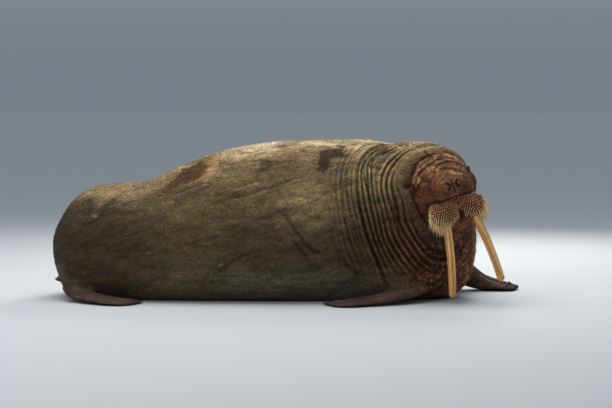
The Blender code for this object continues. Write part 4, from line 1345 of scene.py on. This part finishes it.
def tusk(side, word, material):
    """A tusk with a fluted, cracked and stained surface."""
    centres, radii = tusk_line(side)
    points = tusk_points(centres, radii)
    count = len(points)
    faces = loft_faces(len(centres), TUSK_AROUND)
    faces.append(tuple(range(TUSK_AROUND)))
    faces.append(tuple(range(count - 1, count - 1 - TUSK_AROUND, -1)))
    obj = mesh_object("ivory_tusk_" + word, points, faces)
    index = np.arange(count)
    angle = 2 * np.pi * (index % TUSK_AROUND) / TUSK_AROUND
    along = (index // TUSK_AROUND) / len(centres)
    wrap = np.stack([np.cos(angle) * 3.0, np.sin(angle) * 3.0, along * 1.6], 1)
    streak = clouds(wrap, 1.3, 4, 201 + side)
    crack = creased(wrap, (1.6, 1.6, 0.8), 1.7, 3, 211 + side, 7) ** 2
    colour = painted(
        np.tile(srgb(210, 150, 76), (count, 1)),
        (srgb(232, 204, 138), ramp(streak, 0.05, 0.8)),
        (srgb(196, 108, 34), ramp(-streak, -0.15, 0.45) * ramp(along, 0.12, 0.35)),
        (srgb(216, 196, 104), 0.65 * ramp(along, 0.40, 0.15)),
        (srgb(164, 130, 86), 0.6 * ramp(along, 0.86, 0.97)),
        (srgb(110, 70, 34), 0.7 * crack),
    )
    store_colours(obj.data, "ivory_colour", colour)
    moved_along_normals(obj.data, -(0.0009 * crack + 0.0005 * (streak < 0)))
    dress(obj, material, "ivory", "tusk_" + word)


def eyeball(side, word, material):
    obj = ellipsoid("eyeball_" + word, eye_frame(side), (EYE_RADIUS,) * 3, 40, 28)
    dress(obj, material, "eye", "eye_" + word)


def spike_points(paths, radii, sides):
    """A ring of points round each station of each path but the last, which is a point by itself."""
    count, stations, _ = paths.shape
    rings = stations - 1
    ahead = directions(np.gradient(paths, axis=1))
    beside = np.cross(ahead[:, :1], np.array((0.31, 0.52, 0.79)))
    across = directions(np.cross(ahead, np.repeat(beside, stations, axis=1)))
    other = np.cross(ahead, across)
    turns = (2 * np.pi * np.arange(sides) / sides)[None, None, :, None]
    ring = across[:, :rings, None, :] * np.cos(turns) + other[:, :rings, None, :] * np.sin(turns)
    ring = paths[:, :rings, None, :] + ring * radii[:, :rings, None, None]
    return np.concatenate([ring.reshape(count, rings * sides, 3), paths[:, -1:]], axis=1)


def spikes_mesh(name, paths, radii, sides, colours, colour_name, closed=False):
    """Many tapered spikes in one mesh. Paths are alike in count; the last point of each is its tip.

    The faces come spike by spike only when each spike has a single ring, as in the coat.
    """
    points = spike_points(np.asarray(paths), np.asarray(radii), sides)
    count, per, _ = points.shape
    rings = (per - 1) // sides
    first = (rings - 1) * sides
    tips = [(first + k, first + (k + 1) % sides, per - 1) for k in range(sides)]
    if closed and sides == 3:
        tips.append((2, 1, 0))
    offsets = (np.arange(count) * per)[:, None, None]
    quads = (np.array(loft_faces(rings, sides), dtype=int).reshape(-1, 4)[None] + offsets).reshape(-1, 4)
    tips = (np.array(tips)[None] + offsets).reshape(-1, 3)
    corners = np.concatenate([quads.ravel(), tips.ravel()]).astype(np.int32)
    starts = np.concatenate([np.arange(len(quads)) * 4, len(quads) * 4 + np.arange(len(tips)) * 3])
    mesh = bpy.data.meshes.new(name)
    mesh.vertices.add(count * per)
    mesh.vertices.foreach_set("co", points.astype(np.float32).ravel())
    mesh.loops.add(len(corners))
    mesh.loops.foreach_set("vertex_index", corners)
    mesh.polygons.add(len(starts))
    mesh.polygons.foreach_set("loop_start", starts.astype(np.int32))
    mesh.update(calc_edges=True)
    mesh.validate()
    store_colours(mesh, colour_name, np.repeat(colours, per, axis=0))
    return link_object(name, mesh)


def whisker_roots(side, skin):
    """Rows of places on a whisker pad, with the skin's facing and the shares of the way down and out."""
    found = []
    inside = in_head(0.052 * side, -0.170, 0.070)
    for row in range(WHISKER_ROWS):
        lift = math.radians(47 - 100 * row / (WHISKER_ROWS - 1))
        for column in range(WHISKER_COLUMNS):
            around = math.radians(-36 + 140 * (column + 0.5 * (row % 2)) / WHISKER_COLUMNS)
            way = (HEAD_LEFT * (side * math.sin(around) * math.cos(lift)) + HEAD_UP * math.sin(lift)
                   + HEAD_FRONT * (math.cos(around) * math.cos(lift)))
            hit, place, normal, _ = skin.ray_cast(inside + way * 0.30, -way)
            if not hit:
                continue
            across, up, forward = to_head(np.array([place]))[0]
            top = float(pad_top(np.array([across]))[0])
            bottom = max(WHISKERS_END, -0.200 - 0.55 * abs(across))
            if across * side < 0.003 or not bottom < up < top + 0.010 or forward < 0.02:
                continue
            on_pad = off_ellipsoid(np.array([place]), pad_frame(side), PAD_RADII)[0] < 1.15
            at_mouth = math.hypot(across - 0.003, up + 0.197) < 0.019
            if not (on_pad or (abs(across) < 0.07 and forward > 0.12)) or at_mouth:
                continue
            down = max(0.0, (top - up) / (top - WHISKERS_END))
            outer = min(1.0, max(0.0, (abs(across) - 0.03) / 0.12))
            found.append((np.array(place), np.array(normal), down, outer))
    return found


def whisker_path(place, start_way, end_way, length):
    """Points along a bristle that leaves the skin one way and bends to the other."""
    path = [place]
    for i in range(5):
        way = start_way * (1 - i / 4) + end_way * (i / 4)
        path.append(path[-1] + way / np.linalg.norm(way) * length / 5)
    return path


def whiskers(side, word, skin, material):
    """Stiff bristles in rows, short above and long at the lower outer edge of each pad."""
    rng = random.Random(SEED + side)
    up_way, left_way, front_way = np.array(HEAD_UP), np.array(HEAD_LEFT), np.array(HEAD_FRONT)
    paths, thick, colours = [], [], []
    for place, normal, down, outer in whisker_roots(side, skin):
        length = 0.013 + 0.010 * down + 0.085 * (down * outer) ** 2.0
        length *= rng.uniform(0.75, 1.2)
        hang = -up_way + 0.20 * front_way + (0.45 * outer - 0.15) * (left_way * side)
        hang /= np.linalg.norm(hang)
        lean = np.array([rng.uniform(-0.13, 0.13) for _ in range(3)])
        start_way = normal * 0.75 + hang * (0.50 + 0.3 * down) + lean
        end_way = normal * (0.35 - 0.35 * down) + hang * 0.95 + lean * 1.5
        paths.append(whisker_path(place - normal * 0.003, start_way, end_way, length))
        root_radius = rng.uniform(0.0017, 0.0022) * (0.9 + 0.2 * down)
        thick.append([root_radius * s for s in (1.1, 1.0, 0.9, 0.72, 0.5, 0.0)])
        tone = rng.uniform(0, 1)
        warm = WARM_STRAW[0] * (1 - tone) + WARM_STRAW[1] * tone
        pale = PALE_STRAW[0] * (1 - tone) + PALE_STRAW[1] * tone
        share = min(1.0, 0.10 + 1.0 * down + 0.35 * outer)
        colours.append(warm * (1 - share) + pale * share)
    obj = spikes_mesh("bristles_" + word, paths, thick, 5, np.array(colours), "bristle_colour")
    dress(obj, material, "whiskers")


def mesh_arrays(mesh):
    """Each face's first corner, middle, normal and area, with the point number of each corner."""
    starts = read_array(mesh.polygons, "loop_start", 1, np.int32)
    corners = read_array(mesh.loops, "vertex_index", 1, np.int32)
    middles = read_array(mesh.polygons, "center", 3).astype(float)
    normals = read_array(mesh.polygons, "normal", 3).astype(float)
    return starts, corners, middles, normals, read_array(mesh.polygons, "area", 1)


def chart_places(points, normals):
    """Where points lie on a flat sheet: six sides of the body, and apart from them face and flippers."""
    at = Places(points)
    side, up, forward = at.head.T
    x, y, z = points.T
    sheet = np.zeros((len(points), 2))
    strongest = np.argmax(np.abs(normals), axis=1)
    positive = normals[np.arange(len(points)), strongest] > 0
    for axis, is_positive, flat, corner in (
        (1, False, (x + 1.36, z), (0.01, 0.01)),
        (1, True, (x + 1.36, z), (0.01, 0.25)),
        (2, True, (x + 1.36, y + 0.56), (0.01, 0.49)),
        (2, False, (x + 1.36, y + 0.56), (0.01, 0.745)),
        (0, True, (y + 0.56, z), (0.66, 0.01)),
        (0, False, (y + 0.56, z), (0.66, 0.25)),
    ):
        chosen = (strongest == axis) & (positive == is_positive)
        sheet[chosen] = np.stack(flat, 1)[chosen] * SHEET_SCALE + corner
    turn = np.clip(np.arctan2(side, forward + 0.06), -2.2, 2.2)
    face = np.stack([turn * 0.075 + 0.825, (up + 0.34) * 0.62 + 0.49], 1)
    limb = np.where(x > 0.6, x - 0.75, np.where(x > 0, x + 0.7, x + 2.787))
    band = 2 * (y < 0) + (normals[:, 2] < 0)
    hand = np.stack([limb * 0.15 + 0.66, (np.abs(y) - 0.2) * 0.085 + band * 0.048 + 0.805], 1)
    for chosen, place in ((at.flipper > 0.5, hand), (at.on_head, face)):
        sheet[chosen] = place[chosen]
    return np.clip(sheet, 0.001, 0.999)


def bake_map(mesh, spots):
    """Keeps each corner's place on the flat sheet as the mesh's own map."""
    layer = mesh.uv_layers.new(name="OFBake")
    layer.data.foreach_set("uv", np.clip(spots, 0.0005, 0.9995).astype(np.float32).ravel())
    layer.active = True
    layer.active_render = True


def skin_map(mesh):
    """The skin's own bake map. Each face is laid flat by its side of the body."""
    starts, corners, middles, normals, _ = mesh_arrays(mesh)
    face_of = np.repeat(np.arange(len(starts)), np.diff(np.append(starts, len(corners))))
    middle_spots = chart_places(middles, normals)
    offset = get_points(mesh)[corners] - middles[face_of]
    spots = middle_spots[face_of]
    step = 0.002
    for axis in range(3):
        moved = middles.copy()
        moved[:, axis] += step
        slope = np.clip((chart_places(moved, normals) - middle_spots) / step, -0.7, 0.7)
        spots += slope[face_of] * offset[:, axis][:, None]
    bake_map(mesh, spots)


def laid_flat(ways, normals):
    """Ways turned to run along the skin."""
    return directions(ways - normals * (ways * normals).sum(1)[:, None])


def hair_way(points, normals):
    """Which way the hair lies: back from the nose and along the body, down its sides."""
    way = np.tile(np.array((-1.0, 0.0, -0.25)), (len(points), 1))
    from_face = directions(points - np.array(in_head(0.0, -0.05, 0.22)))
    share = ramp(fold_radius(points), 0.75, 0.35)[:, None]
    return laid_flat(way * (1 - share) + from_face * share, normals)


def tufts(rng, root, out):
    """Paths and radii of tufts that lie along the skin from their roots, with tips a little off it."""
    count = len(root)
    spot = Places(root)
    way = laid_flat(hair_way(root, out) + 0.22 * rng.normal(size=(count, 3)), out)
    length = rng.uniform(0.009, 0.016, count) * (1 - 0.55 * spot.face) * (1 - 0.4 * spot.flipper)
    lift = rng.uniform(0.10, 0.24, count)
    tip = root + (way + out * lift[:, None]) * length[:, None]
    tip[:, 2] = np.maximum(tip[:, 2], 0.0006)
    width = 0.00105 * (1 - 0.35 * spot.face) * rng.uniform(0.8, 1.2, count)
    return np.stack([root - out * 0.0008, tip], 1), np.stack([width, np.zeros(count)], 1)


def coat(skin, material):
    """Very short hair that lies flat, in solid tufts that thin out on the face and the flippers."""
    rng = np.random.default_rng(SEED)
    starts, corners, middles, normals, areas = mesh_arrays(skin.data)
    points = get_points(skin.data)
    tint = read_array(skin.data.color_attributes["hide_colour"].data, "color", 4)[:, :3].astype(float)
    at = Places(middles)
    bare = at.flipper * 0.8 + at.pad + ramp(np.abs(at.forward - 0.2), 0.05, 0.02) * at.face
    weight = areas * np.clip(1 - bare, 0, 1) * ramp(middles[:, 2], 0.004, 0.02)
    for name, low, high in COAT_PIECES:
        part = np.where((middles[:, 0] >= low) & (middles[:, 0] < high), weight, 0)
        chosen = rng.choice(len(part), size=COAT_TUFTS, p=part / part.sum())
        ends = corners[starts[chosen][:, None] + np.arange(3)[None, :]]
        share = rng.dirichlet((1, 1, 1), size=COAT_TUFTS)
        root = (points[ends] * share[:, :, None]).sum(1)
        paths, radii = tufts(rng, root, normals[chosen])
        tone = rng.uniform(0.92, 1.24, COAT_TUFTS)[:, None]
        shade = np.clip(tint[ends[:, 0]] * tone + 0.004, 0.003, 1)
        obj = spikes_mesh(name, paths, radii, 3, shade, "hair_colour", closed=True)
        turns = 2.1 * np.arange(len(obj.data.loops) // COAT_TUFTS)
        patch = TUFT_PATCH * np.stack([np.cos(turns), np.sin(turns)], 1)
        bake_map(obj.data, chart_places(root, normals[chosen])[:, None] + patch[None])
        dress(obj, material, "hide")


def claws(material):
    """Five small claws on the back of each flipper, a little short of its edge."""
    paths = []
    for side, rows in FLIPPERS.values():
        t = (len(rows) - 1) * CLAW_PLACE
        centre, ahead, across, upward, width, thick = flipper_axes(rows, t, side)
        hand = hand_share(rows, t)
        for digit in range(DIGITS):
            v = (2 * digit + 1) / DIGITS - 1
            top = (1 - abs(v) ** 2.4) ** 0.6 * (1 + DIGIT_RISE * hand)
            root = centre + across * width * v + upward * thick * top
            root -= ahead * EDGE_SWEEP * hand ** 2 * max(0.0, -v) ** 2
            paths.append([tuple(root + ahead * CLAW_LENGTH * along - upward * CLAW_RADIUS * down)
                          for along, down in ((-0.4, 1.4), (0.2, 0.6), (0.7, 0.5), (1.0, 1.1))])
    radii = np.tile([CLAW_RADIUS, CLAW_RADIUS * 0.95, CLAW_RADIUS * 0.6, 0.0], (len(paths), 1))
    colours = np.tile(CLAW, (len(paths), 1))
    obj = spikes_mesh("claws", paths, radii, 8, colours, "claw_colour")
    dress(obj, material, "flipper_hide")


def stage_floor():
    """A pale plain floor, far wider than the animal."""
    reach = FLOOR_REACH
    corners = [(-reach, -reach, 0), (reach, -reach, 0), (reach, reach, 0), (-reach, reach, 0)]
    floor = mesh_object("floor", corners, [(0, 1, 2, 3)])
    floor.data.materials.append(mesh_material("pale_floor", 0.9, colour=FLOOR_COLOUR))


def sky():
    """A plain sky that turns to the shade of the far floor where it meets it, so that no edge shows."""
    world = bpy.data.worlds.new("sky")
    bpy.context.scene.world = world
    world.use_nodes = True
    tree = world.node_tree
    look = add_node(tree, "TexCoord", {}, "Generated")
    height = add_node(tree, "SeparateXYZ", {0: look}, "Z")
    share = add_node(tree, "MapRange", {"Value": height, "From Max": SKY_RISE}, "Result",
                     interpolation_type="SMOOTHSTEP")
    shade = add_node(tree, "Mix", {0: share, 6: SKY_LOW, 7: SKY_HIGH}, 2, data_type="RGBA")
    fill(tree, tree.nodes["Background"], {"Color": shade, "Strength": 0.50})


def lamps():
    """Soft square lamps: above, in front on the left, and behind."""
    for name, place, target, size, energy, tint in LAMPS:
        data = bpy.data.lights.new(name, "AREA")
        data.size = size
        data.energy = energy
        data.color = tint
        lamp = link_object(name, data)
        lamp.location = place
        lamp.rotation_euler = (Vector(target) - Vector(place)).to_track_quat("-Z", "Y").to_euler()


def camera():
    """The photo's view of the animal's right side, through a long lens."""
    data = bpy.data.cameras.new("photo_view")
    data.sensor_width = 36
    data.lens = CAMERA_LENS
    data.clip_end = 200
    eye = link_object("photo_view", data)
    eye.location = CAMERA_PLACE
    eye.rotation_euler = (math.radians(90 - CAMERA_DOWN), 0, 0)
    bpy.context.scene.camera = eye


def main():
    bpy.context.scene.view_settings.view_transform = "Standard"
    skin = shaped_skin()
    skin_map(skin.data)
    dress(skin, hide_material(), "hide", "rump", "torso", "chest", "neck", "tail", "head", "lower_jaw",
          "foreflipper_left", "foreflipper_right", "hindflipper_left", "hindflipper_right",
          "whisker_pad_left", "whisker_pad_right")
    ivory = mesh_material("ivory", 0.38, attribute="ivory_colour")
    bristle = mesh_material("bristle", 0.45, attribute="bristle_colour")
    claw = mesh_material("claw", 0.4, attribute="claw_colour")
    wet = mesh_material("wet_eye", 0.10, 0.45, colour=(0.022, 0.008, 0.005))
    for side, word in ((1, "left"), (-1, "right")):
        tusk(side, word, ivory)
        eyeball(side, word, wet)
        whiskers(side, word, skin, bristle)
    claws(claw)
    coat(skin, mesh_material("short_hair", 0.75, 0.2, attribute="hair_colour"))
    stage_floor()
    sky()
    lamps()
    camera()
    print("SKIN", len(skin.data.vertices), "points", len(skin.data.polygons), "faces")


main()
